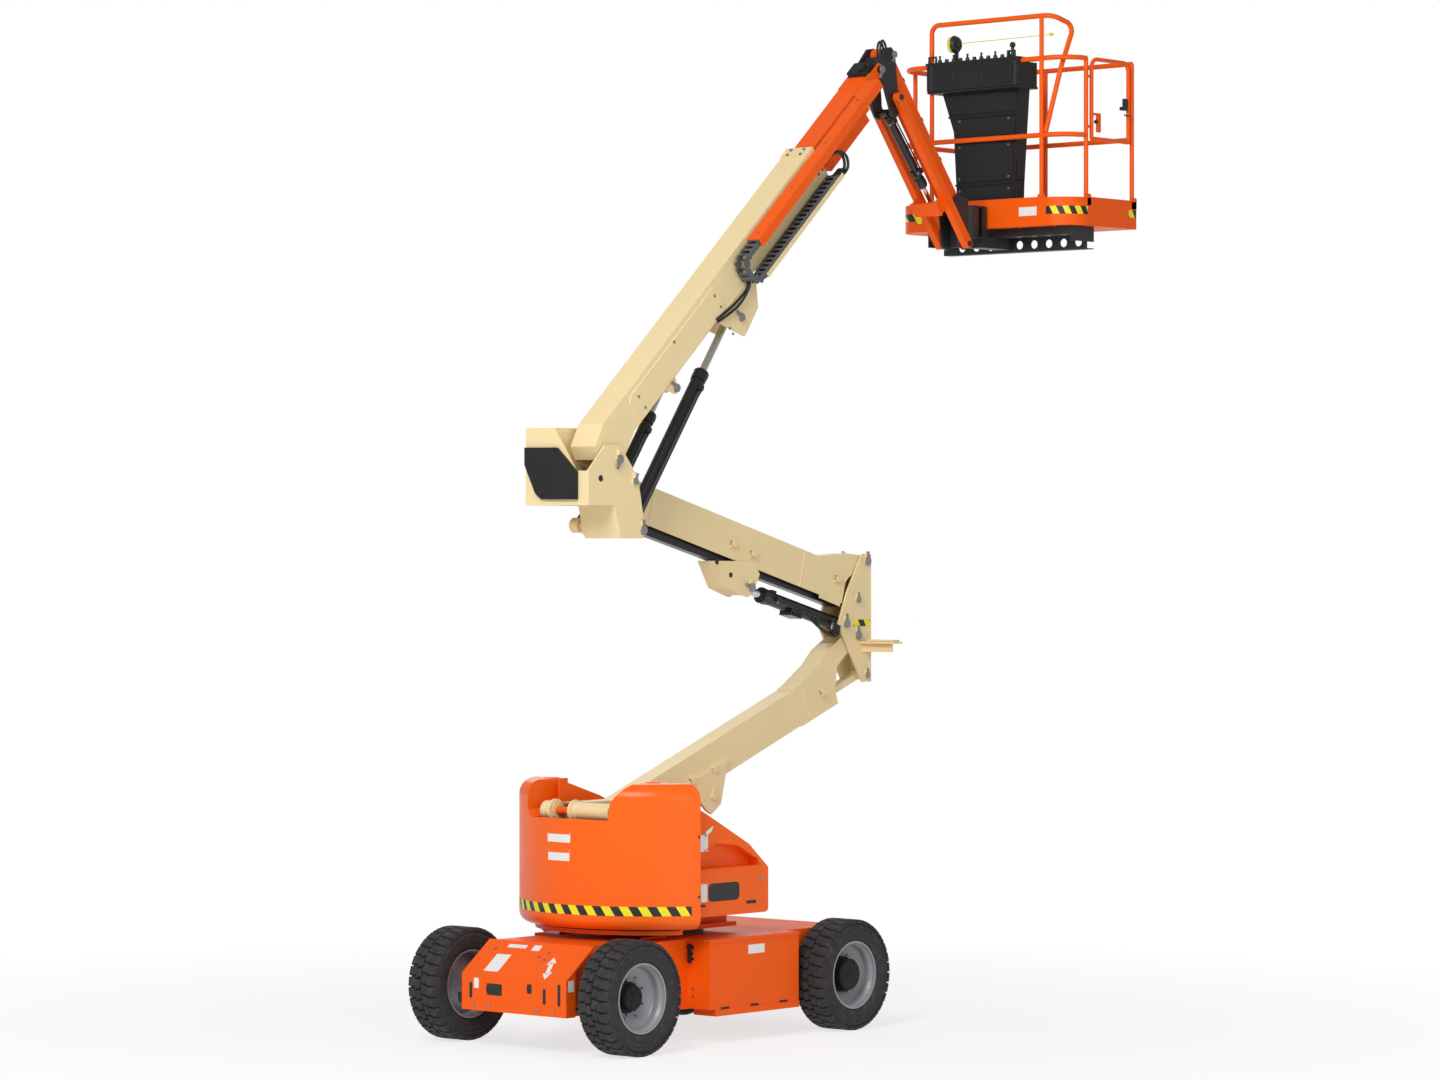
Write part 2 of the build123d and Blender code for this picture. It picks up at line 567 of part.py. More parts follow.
def lower_tower_boom():
    """Box boom whose cheeks rise to its pins at both ends."""
    top, low = -LOWER_OFFSET + TOWER_DEPTH / 2, -LOWER_OFFSET - TOWER_DEPTH / 2
    start, end = 130.0, LOWER_LONG - 316
    box = Pos(0, TOWER_Y, 0) * beam(start, end, TOWER_WIDTH, low, top, TOWER_WALL)
    sleeve0 = end - 400
    box = box + Pos(0, TOWER_Y, 0) * (
        block(sleeve0, end, -TOWER_WIDTH / 2, TOWER_WIDTH / 2, low - SLEEVE_GROW, top + SLEEVE_GROW)
        - block(sleeve0 - 1, end + 1, TOWER_WALL - TOWER_WIDTH / 2, TOWER_WIDTH / 2 - TOWER_WALL,
                low + TOWER_WALL, top - TOWER_WALL))
    boom = Pos(ROOT[0], 0, ROOT[1]) * (Rot(0, -LOWER_ANGLE, 0) * box)
    root = [(-50, -20), (-40, 40), (0, 56), (45, 36), (420, top), (420, low), (start, low), (start, -215),
            (62, -150)]
    tip = [(u + LOWER_LONG, v) for u, v in [(-700, top + 2), (-430, -45), (-296, 10), (-131, 35), (-30, 48),
                                             (30, 44), (50, 0), (34, -40), (-70, -70), (-240, -125),
                                             (-345, low + 30), (-700, low)]]
    web = [(u + LOWER_LONG, v) for u, v in [(-700, top + 2), (-430, -45), (-296, 10), (-200, 22), (-200, 12),
                                            (-296, 0), (-430, -57), (-700, top - 10)]]
    parts = [boom]
    for outline in (root, tip):
        parts += cheeks(in_line(ROOT, LOWER_ANGLE, outline), NEAR, FAR, TOWER_WALL)
    parts.append(slab(in_line(ROOT, LOWER_ANGLE, web), NEAR, FAR))
    parts.append(slab(in_line(ROOT, LOWER_ANGLE, [(45, 36), (420, top), (420, top - 10), (60, 10)]), NEAR,
                      FAR))
    lug = [add(LOWER_LUG, (-250, 90)), add(LOWER_LUG, (150, 240)), add(LOWER_LUG, (76, -51)),
           add(LOWER_LUG, (-13, -113)), add(LOWER_LUG, (-60, -90))]
    parts += [slab(lug, NEAR - PLATE, NEAR + TOWER_WALL), slab(lug, FAR - TOWER_WALL, FAR + PLATE)]
    for at in (ROOT, ELBOW):
        parts += [round_y(at, BOSS_R * 0.8, NEAR - SIDE_GAP + 1, NEAR + 1),
                  round_y(at, BOSS_R * 0.8, FAR - 1, FAR + SIDE_GAP - 1)]
    boom = fused(parts)
    for at in (ROOT, ELBOW):
        boom = boom - round_y(at, PIN_R + SEAT, NEAR - 30, FAR + 30)
    # the rod eye folds up through this slot
    slot = in_line(ROOT, LOWER_ANGLE, [(460, low - 60), (460, low + 40), (1300, low + 40), (1300, low - 60)])
    boom = boom - slab(slot, NEAR + TOWER_WALL, FAR - TOWER_WALL)
    return fused(boom, heads(LOWER_LUG, NEAR - PLATE, FAR + PLATE))


def tower_link(a, b):
    """Flat parallel link between two pins, inside its boom."""
    length, angle = run(a, b)
    y0, y1 = -LINK_WIDTH / 2, LINK_WIDTH / 2
    bar = block(0, length, y0, y1, -LINK_DEPTH / 2, LINK_DEPTH / 2)
    for u in (0, length):
        bar = bar + round_y((u, 0), LINK_DEPTH / 2 + 8, y0, y1)
    for u in (0, length):
        bar = bar - round_y((u, 0), LINK_PIN_R + SEAT, y0 - 1, y1 + 1)
    return laid(bar, a, angle, TOWER_Y)


def upper_link():
    """Parallel link below the upper boom: a straight bar cranked up to its two eyes."""
    a, b = add(CROWN, UPPER_LINK_STEP), add(WRIST, UPPER_LINK_STEP)
    low = [(x, BAR_LINE[0] + BAR_LINE[1] * x) for x in BAR_ENDS]
    top = [(x, z + BAR_DEPTH) for x, z in low]
    bar = slab([b, low[0], low[1], (a[0] + 8, a[1] - BAR_EYE + 2), (a[0] - 20, a[1] + BAR_EYE - 4),
                top[1], top[0],
                (b[0] + 8, b[1] + BAR_EYE - 2)], -LINK_WIDTH / 2, LINK_WIDTH / 2)
    for p in (a, b):
        bar = bar + round_y(p, BAR_EYE, -LINK_WIDTH / 2, LINK_WIDTH / 2)
    for p in (a, b):
        bar = bar - round_y(p, LINK_PIN_R + SEAT, -LINK_WIDTH / 2 - 1, LINK_WIDTH / 2 + 1)
    return Pos(0, TOWER_Y, 0) * bar


def mid_upright():
    """Two kite-shaped plates that join the lower and upper tower booms."""
    kite = [add(ELBOW, p) for p in [(58, 544), (150, 539), (150, -311), (58, -312), (-160, 20), (-186, 79),
                                    (-172, 122), (-100, 290)]]
    y0, y1 = NEAR - SIDE_GAP - PLATE, FAR + SIDE_GAP + PLATE
    parts = cheeks(kite, y0, y1, PLATE)
    x1 = ELBOW[0] + 150
    parts.append(block(x1 - 12, x1, y0, y1, ELBOW[1] - 280, ELBOW[1] + 510))
    pins = [CROWN, ELBOW, UPPER_CYL_FOOT]
    small = [add(ELBOW, LINK_STEP), add(CROWN, UPPER_LINK_STEP)]
    parts += [round_y(p, PIN_R, y0 + 2, y1 - 2) for p in pins]
    parts += [round_y(p, LINK_PIN_R, y0 + 2, y1 - 2) for p in small]
    # boom rest: a dished shelf beside the near plate
    z = ELBOW[1] - 40
    shelf = block(x1 - 130, x1 - 40, y0 - 300, y0 + 1, z - 14, z)
    shelf = shelf + block(x1 - 92, x1 - 78, y0 - 250, y0 + 1, z - 70, z - 14)
    parts.append(shelf)
    for p in pins:
        parts += heads(p, y0, y1)
    for p in small:
        parts += heads(p, y0, y1, LINK_PIN_R)
    return fused(parts)


def upper_tower_boom():
    """Channel boom, open below, with the lug plates for its cylinder."""
    (ax, az), (bx, bz) = UPPER_AXIS
    length, angle = run((ax, az), (bx, bz))
    tube = Pos(0, TOWER_Y, 0) * beam(0, length, TOWER_WIDTH, -TOWER_DEPTH / 2, TOWER_DEPTH / 2,
                                     TOWER_WALL, True)
    boom = Pos(ax, 0, az) * (Rot(0, -angle, 0) * tube)
    crown = [add(CROWN, p) for p in [(-460, 34), (-163, 52), (10, 36), (30, 0), (12, -34), (-60, -52),
                                     (-170, -116), (-230, -190), (-250, -300), (-460, -240)]]
    cap = [add(CROWN, p) for p in [(-460, 34), (-163, 52), (0, 37), (0, 30), (-163, 43), (-460, 22)]]
    parts = [boom] + cheeks(crown, NEAR, FAR, TOWER_WALL) + [slab(cap, NEAR, FAR)]
    for y in (NEAR, FAR - TOWER_WALL):
        parts.append(round_y(WRIST, TOWER_DEPTH / 2, y, y + TOWER_WALL))
    lug = [add(UPPER_LUG, p) for p in [(-330, 175), (-225, 0), (-60, -55), (-26, -62), (22, -40),
                                       (93, 85), (40, 170)]]
    parts += [slab(lug, NEAR - PLATE, NEAR), slab(lug, FAR, FAR + PLATE)]
    rear = [add(UPPER_LUG, p) for p in [(-330, 175), (-225, 0), (-75, -50), (-75, -38), (-218, 11),
                                        (-316, 170)]]
    parts.append(slab(rear, NEAR - PLATE, FAR + PLATE))
    boom = fused(parts)
    for at in (CROWN, WRIST):
        boom = boom - round_y(at, PIN_R + SEAT, NEAR - 30, FAR + 30)
    return fused(boom, heads(UPPER_LUG, NEAR - PLATE, FAR + PLATE))


def cylinder(foot, eye, y, radius, rod_radius, closed, out, pin_r, half):
    """Barrel and rod of one hydraulic cylinder.

    `closed` is the rod left outside the barrel at rest, `out` how much further it comes out, and
    `half` the half width between the plates that hold its eye.
    """
    length, angle = run(foot, eye)
    body_long = length - closed
    body = barrel(body_long, radius, radius * 0.8, pin_r, rod_radius + SEAT)
    piston = rod(body_long - out - 50, length, rod_radius, radius * 0.8, pin_r, half - SEAT)
    return laid(body, foot, angle, y), laid(piston, foot, angle, y)


# ---------------------------------------------------------------- upper upright
def upper_upright():
    """Welded head of the tower: rear box, cheek plates and the bay that the main boom swings in."""
    near_plate = [(MAST_REAR, MAST_BOX_LOW), (MAST_REAR, MAST_SILL), (-737, 3714), (-605, 3715),
                  (-487, 3575),
                  (-428, 3472), (-398, 3322), (-372, 3190), (-385, MAST_LOW), (-583, MAST_LOW),
                  (-650, MAST_BOX_LOW)]
    far_plate = [(MAST_REAR, MAST_BOX_LOW), (MAST_REAR, MAST_TOP), (-600, MAST_TOP), (-487, 3575),
                 (-420, 3400), (-430, MAST_BOX_LOW)]
    mid_plate = far_plate[:-1] + [(-440, 3160), (-620, 3160), (-650, MAST_BOX_LOW)]
    h = MAST_HALF
    bay = 22.0
    parts = [slab(near_plate, -h, PLATE - h), slab(far_plate, h - PLATE, h),
             slab(mid_plate, bay, bay + PLATE)]
    rear = Plane.YZ * make_face(Polyline((h, MAST_BOX_LOW), (h, MAST_TOP), (bay, MAST_TOP),
                                         (bay - 180, MAST_SILL), (-h, MAST_SILL), (-h, MAST_BOX_LOW),
                                         close=True))
    parts.append(Pos(MAST_REAR, 0, 0) * extrude(rear, 12))
    parts.append(block(MAST_REAR, -650, -h, h, MAST_BOX_LOW, MAST_BOX_LOW + 12))
    parts.append(block(MAST_REAR, -700, bay, h, MAST_TOP - 10, MAST_TOP))
    foot = slab([(-660, MAST_BOX_LOW + 6), (-593, MAST_LOW), (-583, MAST_LOW), (-640, MAST_BOX_LOW + 6)],
                -h, bay + PLATE)
    parts.append(foot)
    parts.append(block(-593, -560, -h, bay + PLATE, MAST_LOW, MAST_LOW + 10))
    parts.append(round_y(WRIST, PIN_R, bay + 2, h - 2))
    parts.append(round_y(BOOM_PIVOT, PIN_R + 6, -h + 2, bay + 2))
    parts.append(round_y(LIFT_FOOT, PIN_R, -h + 2, bay + 2))
    parts.append(round_y(LEVEL_FOOT, LEVEL_PIN_R, -h + 2, bay + 2))
    parts.append(round_y(add(WRIST, UPPER_LINK_STEP), LINK_PIN_R, bay + 2, TOWER_Y + LINK_WIDTH / 2 + 6))
    body = fused(parts)
    body = body - round_y((-781, 3508), 17, -h - 1, PLATE - h + 1)
    for p in (BOOM_PIVOT, LIFT_FOOT, LEVEL_FOOT):
        body = body + heads(p, -h, bay + PLATE)[0]
    return body + heads(WRIST, bay, h)[1]


# ---------------------------------------------------------------- main boom, along its own line
def on_boom(piece):
    """Carries a piece drawn along +X from the pivot to the boom's resting angle."""
    return Pos(BOOM_PIVOT[0], 0, BOOM_PIVOT[1]) * (Rot(0, -BOOM_ANGLE, 0) * piece)


def main_boom():
    """Base section: box, side plates with the pivot and cylinder lugs, tip collar and chain tray."""
    y0, y1 = BOOM_Y - BOOM_WIDTH / 2, BOOM_Y + BOOM_WIDTH / 2
    box = Pos(0, BOOM_Y, 0) * beam(150, BOOM_TIP, BOOM_WIDTH, BOOM_BOTTOM, BOOM_TOP, BOOM_WALL)
    base = [(-80, 179), (70, BOOM_TOP), (400, BOOM_TOP), (400, BOOM_BOTTOM), (250, BOOM_BOTTOM), (60, -52),
            (-30, -56), (-66, 0), (-104, 90)]
    ends = cheeks(base, y0, y1, 12)
    roof = slab([(-80, 179), (70, BOOM_TOP), (160, BOOM_TOP), (160, BOOM_TOP - 10), (76, BOOM_TOP - 10),
                 (-76, 170)], y0, y1)
    back = slab([(-80, 179), (-104, 90), (-93, 88), (-69, 172)], y0, y1)
    lug = [(1290, BOOM_BOTTOM + 60), (1338, -47), (1450, -235), (1490, -232), (1677, -185), (1764, -60),
           (1764, BOOM_BOTTOM + 60)]
    mid_lug = [(560, BOOM_BOTTOM + 30), (672, -20), (700, -74), (748, -80), (770, BOOM_BOTTOM + 30)]
    parts = [box, roof, back] + ends + cheeks(lug, y0, y1, PLATE) + cheeks(mid_lug, y0, y1, PLATE)
    cover = [(339, 22), (339, 170), (366, 197), (1425, 197), (1453, 170), (1415, 22), (400, 18)]
    parts.append(slab(cover, y0 - 8, y0))
    collar = block(BOOM_TIP - 95, BOOM_TIP, y0 - 6, y1 + 6, BOOM_BOTTOM - 6, BOOM_TOP + 6)
    collar = collar - block(BOOM_TIP - 96, BOOM_TIP + 1, y0 + BOOM_WALL, y1 - BOOM_WALL,
                            BOOM_BOTTOM + BOOM_WALL, BOOM_TOP - BOOM_WALL)
    parts.append(collar)
    tray_z = CHAIN_LOW - SEAT - TRAY_THICK
    parts.append(block(CHAIN_BEND + 30, CHAIN_TIP + 15, -GUIDE_OUT + 4, y0 + BOOM_WALL, tray_z,
                       tray_z + TRAY_THICK))
    parts.append(block(CHAIN_BEND + 30, CHAIN_TIP + 15, -GUIDE_OUT + 4, -GUIDE_OUT + 9, tray_z, tray_z + 30))
    parts.append(block(CHAIN_BEND + 60, CHAIN_TIP - 100, y0, y0 + BOOM_WALL, tray_z, BOOM_BOTTOM + 2))
    boom = fused(parts)
    boom = boom - round_y((0, 0), PIN_R + 6 + SEAT, y0 - 20, y1 + 20)
    fly0, fly1 = BOOM_Y - FLY_WIDTH / 2, BOOM_Y + FLY_WIDTH / 2
    pads = [(-60, 60, FLY_TOP + SEAT, BOOM_TOP - BOOM_WALL + 1), (-60, 60, BOOM_BOTTOM + BOOM_WALL - 1,
                                                                 FLY_BOTTOM - SEAT)]
    for v0, v1, z0, z1 in pads:
        boom = boom + block(BOOM_TIP - 100, BOOM_TIP - 10, BOOM_Y + v0, BOOM_Y + v1, z0, z1)
    for v0, v1 in ((y0 + BOOM_WALL - 1, fly0 - SEAT), (fly1 + SEAT, y1 - BOOM_WALL + 1)):
        boom = boom + block(BOOM_TIP - 100, BOOM_TIP - 10, v0, v1, 80, 170)
    boom = boom - block(575, 765, BOOM_Y - 41, BOOM_Y + 41, BOOM_BOTTOM - 1, BOOM_BOTTOM + BOOM_WALL + 0.2)
    boom = fused(boom, heads(LIFT_EYE, y0, y1), heads(LEVEL_EYE, y0, y1, LEVEL_PIN_R))
    return on_boom(boom)


def fly_boom():
    """Sliding section with the orange chain guide along its near side and the lugs for the jib bracket."""
    y0, y1 = BOOM_Y - FLY_WIDTH / 2, BOOM_Y + FLY_WIDTH / 2
    h = add(HEAD, (-BOOM_PIVOT[0], -BOOM_PIVOT[1]))
    c, s = cos(radians(BOOM_ANGLE)), sin(radians(BOOM_ANGLE))
    head = (h[0] * c + h[1] * s, -h[0] * s + h[1] * c)
    box = Pos(0, BOOM_Y, 0) * beam(FLY_BACK, FLY_BOX_END, FLY_WIDTH, FLY_BOTTOM, FLY_TOP, FLY_WALL)
    cut = [(3440, FLY_BOTTOM - 5), (3440, 53), (FLY_BOX_END + 1, 135), (FLY_BOX_END + 1, FLY_BOTTOM - 5)]
    box = box - slab(cut, y0 - 1, y1 + 1)
    floor = slab([(3432, FLY_BOTTOM), (3432, 53), (FLY_BOX_END, 135), (FLY_BOX_END, 144), (3424, 58),
                  (3424, FLY_BOTTOM)], y0, y1)
    keel = block(BOOM_TIP + 70, 3391, y0, y1, -20, FLY_BOTTOM + 2)
    lug = [(3450, 70), (FLY_BOX_END, 140), (head[0] - 20, head[1] - 44), (head[0] + 30, head[1] - 34),
           (head[0] + 44, head[1]), (head[0] + 22, head[1] + 38), (3560, FLY_TOP), (3450, FLY_TOP)]
    parts = [box, floor, keel, slab(lug, y0 - 9, y0 + 1), slab(lug, y1 - 1, y1 + 9)]
    guide = block(GUIDE_BACK, GUIDE_TIP, -GUIDE_OUT, -GUIDE_IN, GUIDE_TOP - 6, GUIDE_TOP)
    guide = guide + block(GUIDE_BACK, GUIDE_TIP, -GUIDE_OUT, -GUIDE_OUT + 6, GUIDE_TOP - 62, GUIDE_TOP)
    guide = guide + block(GUIDE_TIP - 160, GUIDE_TIP, -GUIDE_OUT, y0 - 9, GUIDE_TOP - 6, GUIDE_TOP)
    guide = guide + block(GUIDE_TIP - 160, GUIDE_TIP, y0 - 16, y0 - 8, 110, GUIDE_TOP)
    fly = fused(parts, guide)
    back = (FLY_BACK, FLY_BACK + 90)
    in0, in1 = BOOM_Y - BOOM_WIDTH / 2 + BOOM_WALL, BOOM_Y + BOOM_WIDTH / 2 - BOOM_WALL
    fly = fly + block(*back, BOOM_Y - 60, BOOM_Y + 60, FLY_TOP - 1, BOOM_TOP - BOOM_WALL - SEAT)
    fly = fly + block(*back, BOOM_Y - 60, BOOM_Y + 60, BOOM_BOTTOM + BOOM_WALL + SEAT, FLY_BOTTOM + 1)
    fly = fly + block(*back, in0 + SEAT, y0 + 1, 80, 170) + block(*back, y1 - 1, in1 - SEAT, 80, 170)
    fly = fly - round_y(head, PIN_R + SEAT, y0 - 20, y1 + 20)
    return on_boom(fly)


def chain_base():
    """Cable carrier: the run that lies in the tray and the bend at its back."""
    y0, y1 = -GUIDE_OUT + 12, -GUIDE_IN - 6
    top = GUIDE_TOP - 6 - SEAT
    rad = (top - CHAIN_LOW) / 2
    mid = CHAIN_LOW + rad
    low_run = block(CHAIN_BEND, CHAIN_TIP, y0, y1, CHAIN_LOW, CHAIN_LOW + CHAIN_LINK)
    bend = round_y((CHAIN_BEND, mid), rad, y0, y1) - round_y((CHAIN_BEND, mid), rad - CHAIN_LINK, y0 - 1,
                                                             y1 + 1)
    bend = bend & block(CHAIN_BEND - rad - 1, CHAIN_BEND, y0, y1, CHAIN_LOW - 1, top + 1)
    return on_boom(low_run + bend)


def chain_run():
    """Cable carrier: the run under the guide, which goes out with the fly section."""
    y0, y1 = -GUIDE_OUT + 12, -GUIDE_IN - 6
    top = GUIDE_TOP - 6 - SEAT
    return on_boom(block(CHAIN_BEND + SEAT, CHAIN_TIP, y0, y1, top - CHAIN_LINK, top))


# ---------------------------------------------------------------- jib
JIB_TOP_END = add(JIB_TOP, JIB_RUN)
JIB_LOW_END = add(JIB_LOW, JIB_RUN)
JIB_LONG, JIB_ANGLE = run(JIB_LOW, JIB_LOW_END)


def jib_bracket():
    """Cast bracket at the fly head; it stays level while the boom rises."""
    plate = [(1948, 6262), (1968, 6286), (2060, 6390), (2130, 6402), (2172, 6370), (2190, 6200),
             (2206, 6080),
             (2214, 5968), (2180, 5928), (2140, 5944), (2088, 6060), (2040, 6180), (2010, 6196),
             (1964, 6204)]
    y0, y1 = BOOM_Y - JIB_PLATE_Y - JIB_PLATE, BOOM_Y + JIB_PLATE_Y + JIB_PLATE
    parts = cheeks(plate, y0, y1, JIB_PLATE)
    parts.append(slab([(2028, 6330), (2044, 6330), (2060, 6190), (2080, 6150), (2066, 6140),
                       (2044, 6180)], y0, y1))
    parts += [round_y(HEAD, PIN_R, BOOM_Y - FLY_WIDTH / 2 - 12, BOOM_Y + FLY_WIDTH / 2 + 12),
              round_y(JIB_TOP, PIN_R, y0 + 1, y1 - 1), round_y(JIB_CYL_FOOT, JIB_PIN_R, y0 + 1, y1 - 1)]
    reach = JIB_SLIM_Y + JIB_SLIM / 2 + 6
    for side in (-1, 1):
        ya, yb = sorted((BOOM_Y + side * (JIB_PLATE_Y + 4), BOOM_Y + side * reach))
        parts.append(round_y(JIB_LOW, PIN_R * 0.8, ya, yb))
    return fused(parts)


def jib_upper_tube():
    """Wide upper member of the jib."""
    half, deep = JIB_WIDE / 2, JIB_WIDE_DEPTH / 2
    bar = beam(0, JIB_LONG, JIB_WIDE, -deep, deep, 7) + round_y((0, 0), deep, -half, half)
    bar = bar + round_y((JIB_LONG, 0), deep, -half, half)
    for at in (0, JIB_LONG):
        bar = bar - round_y((at, 0), PIN_R + SEAT, -90, 90)
    return laid(bar, JIB_TOP, JIB_ANGLE, BOOM_Y)


def jib_lower_tubes():
    """The two slim lower members, joined by a cross tube under the cylinder eye."""
    deep = JIB_SLIM_DEPTH / 2
    parts = []
    for side in (-1, 1):
        y0, y1 = side * JIB_SLIM_Y - JIB_SLIM / 2, side * JIB_SLIM_Y + JIB_SLIM / 2
        parts.append(block(0, JIB_LONG, y0, y1, -deep, deep))
        parts += [round_y((0, 0), deep, y0, y1), round_y((JIB_LONG, 0), deep, y0, y1)]
    eye_long, _ = run(JIB_LOW, JIB_CYL_EYE)
    parts.append(block(eye_long - 60, eye_long + 40, -JIB_SLIM_Y, JIB_SLIM_Y, JIB_SADDLE - 18, JIB_SADDLE))
    parts.append(block(eye_long - 60, eye_long + 40, -JIB_SLIM_Y + 10, -JIB_SLIM_Y + 26, JIB_SADDLE - 2, 0))
    parts.append(block(eye_long - 60, eye_long + 40, JIB_SLIM_Y - 26, JIB_SLIM_Y - 10, JIB_SADDLE - 2, 0))
    bars = fused(parts)
    for at in (0, JIB_LONG):
        bars = bars - round_y((at, 0), PIN_R * 0.8 + SEAT, -200, 200)
    return laid(bars, JIB_LOW, JIB_ANGLE, BOOM_Y)


def rotator_bracket():
    """End plates of the jib with the rotator drum."""
    plate = [(2815, 5432), (2850, 5466), (2960, 5440), (2960, 5110), (2920, 5092), (2868, 5108),
             (2862, 5150),
             (2840, 5360)]
    y0, y1 = BOOM_Y - JIB_PLATE_Y - JIB_PLATE, BOOM_Y + JIB_PLATE_Y + JIB_PLATE
    parts = cheeks(plate, y0, y1, JIB_PLATE)
    parts.append(block(2946, 2962, y0, y1, 5112, 5438))
    parts.append(block(2955, ROTATOR_X, BOOM_Y - 60, BOOM_Y + 60, ROTATOR_LOW + 20,
                       ROTATOR_LOW + ROTATOR_TALL - 20))
    parts.append(round_z(ROTATOR_X, BOOM_Y, ROTATOR_DIA / 2, ROTATOR_LOW, ROTATOR_LOW + ROTATOR_TALL))
    parts += [round_y(JIB_TOP_END, PIN_R, y0 + 1, y1 - 1)]
    reach = JIB_SLIM_Y + JIB_SLIM / 2 + 6
    for side in (-1, 1):
        ya, yb = sorted((BOOM_Y + side * (JIB_PLATE_Y + 4), BOOM_Y + side * reach))
        parts.append(round_y(JIB_LOW_END, PIN_R * 0.8, ya, yb))
    return fused(parts)


# ---------------------------------------------------------------- platform
DECK_X1 = DECK_X0 + DECK_LONG
DECK_Y0 = BOOM_Y - DECK_WIDE / 2
DECK_Y1 = BOOM_Y + DECK_WIDE / 2


def deck_outline(inset):
    """Platform outline with its two front corners rounded."""
    x0, x1 = DECK_X0 + inset, DECK_X1 - inset
    y0, y1 = DECK_Y0 + inset, DECK_Y1 - inset
    r = DECK_ROUND - inset
    k = r * (1 - sin(radians(45)))
    return [Line((x1, y0), (x0 + r, y0)), ThreePointArc((x0 + r, y0), (x0 + k, y0 + k), (x0, y0 + r)),
            Line((x0, y0 + r), (x0, y1 - r)), ThreePointArc((x0, y1 - r), (x0 + k, y1 - k), (x0 + r, y1)),
            Line((x0 + r, y1), (x1, y1)), Line((x1, y1), (x1, y0))]


def platform_support():
    """Turning arm under the platform with its perforated cross beam."""
    z0, z1 = ROTATOR_LOW, ROTATOR_LOW + ROTATOR_TALL
    under = DECK_Z - 10
    parts = []
    for za, zb in ((z0 - 14, z0 - SEAT), (z1 + SEAT, z1 + 12)):
        parts.append(round_z(ROTATOR_X, BOOM_Y, 78, za, zb))
        x1 = ROTATOR_X + 130
        parts.append(block(ROTATOR_X, x1, BOOM_Y - 70, BOOM_Y + 70, za, zb))
    parts.append(block(ROTATOR_X + 92, ROTATOR_X + 130, BOOM_Y - 70, BOOM_Y + 70, z0 - 14, z1 + 12))
    parts.append(block(ROTATOR_X + 92, 3520, BOOM_Y - 62, BOOM_Y + 62, 5118, 5196))
    beam_z0, beam_z1 = 5100, 5196
    y0, y1 = DECK_Y0 + 65, DECK_Y1 - 225
    plate = block(3476, 3484, y0, y1, beam_z0, beam_z1)
    for n in range(-5, 4):
        if n:
            plate = plate - Pos(3480, BOOM_Y + n * 125, 5148) * (Rot(0, 90, 0) * Cylinder(29, 20))
    parts += [plate, block(3476, 3560, y0, y1, beam_z1 - 6, beam_z1), block(3476, 3560, y0, y1, beam_z0,
                                                                            beam_z0 + 6)]
    for y in (y0, y1 - 8):
        parts.append(block(3300, 3560, y, y + 8, 5150, under - SEAT))
    parts.append(block(3300, 3560, y0, y1, 5196 - 2, under - SEAT))
    return fused(parts)


def platform_floor():
    """Floor tray with toe boards all round."""
    outer = extrude(make_face(deck_outline(0)), TOE_TALL + 10)
    inner = Pos(0, 0, 10) * extrude(make_face(deck_outline(TOE_THICK)), TOE_TALL + 10)
    tray = Pos(0, 0, DECK_Z - 10) * (outer - inner)
    tread = Pos(0, 0, DECK_Z - 1) * extrude(make_face(deck_outline(TREAD_INSET)), TREAD_THICK + 1)
    return tray + (tread & block(DECK_X0 + TREAD_BACK, DECK_X1, DECK_Y0, DECK_Y1, DECK_Z - 2, DECK_Z + 50))


def rail(points, radii, dia=RAIL_DIA):
    """Tube along corner points with rounded corners."""
    path = FilletPolyline(*points, radius=radii)
    start = path @ 0
    sweep_plane = Plane(origin=start, z_dir=path % 0)
    return sweep(sweep_plane * Circle(dia / 2), path=path)


def post(x, y, z0, z1, dia=POST_DIA):
    return round_z(x, y, dia / 2, z0, z1)


def platform_rails():
    """Guard rails: posts, mid and top rails and the raised hoop at the front."""
    i = RAIL_DIA / 2 + TOE_THICK + SEAT
    x0, x1, y0, y1 = DECK_X0 + i, DECK_X1 - i, DECK_Y0 + i, DECK_Y1 - i
    base = DECK_Z
    r = DECK_ROUND - i
    parts = []
    for z in (MID_RAIL_Z, TOP_RAIL_Z):
        loop = [(GATE_X0, y0, z), (x0, y0, z), (x0, y1, z), (x1, y1, z), (x1, y0, z)]
        parts.append(rail(loop, [r, r, 40]))
    ya, yb = DECK_Y0 + HOOP_NEAR, DECK_Y1 - HOOP_FAR
    for x, y in ((x0, ya), (x0, yb), (GATE_X0, y0), (x1, y0), (x1, y1), (x1, BOOM_Y), (GATE_X0, y1)):
        parts.append(post(x, y, base, TOP_RAIL_Z))
    hoop = [(x0, yb, TOP_RAIL_Z - 20), (x0, yb, HOOP_Z), (x0, ya - 90, HOOP_Z),
            (x0 + 190, ya - 130, HOOP_Z - 60), (x0 + 60, ya - 120, TOP_RAIL_Z - 60),
            (x0 + 6, ya - 30, MID_RAIL_Z + 20)]
    parts.append(rail(hoop, [60, 80, 60, 40]))
    parts.append(post(x0, ya, TOP_RAIL_Z - 5, HOOP_Z))
    return fused(parts)


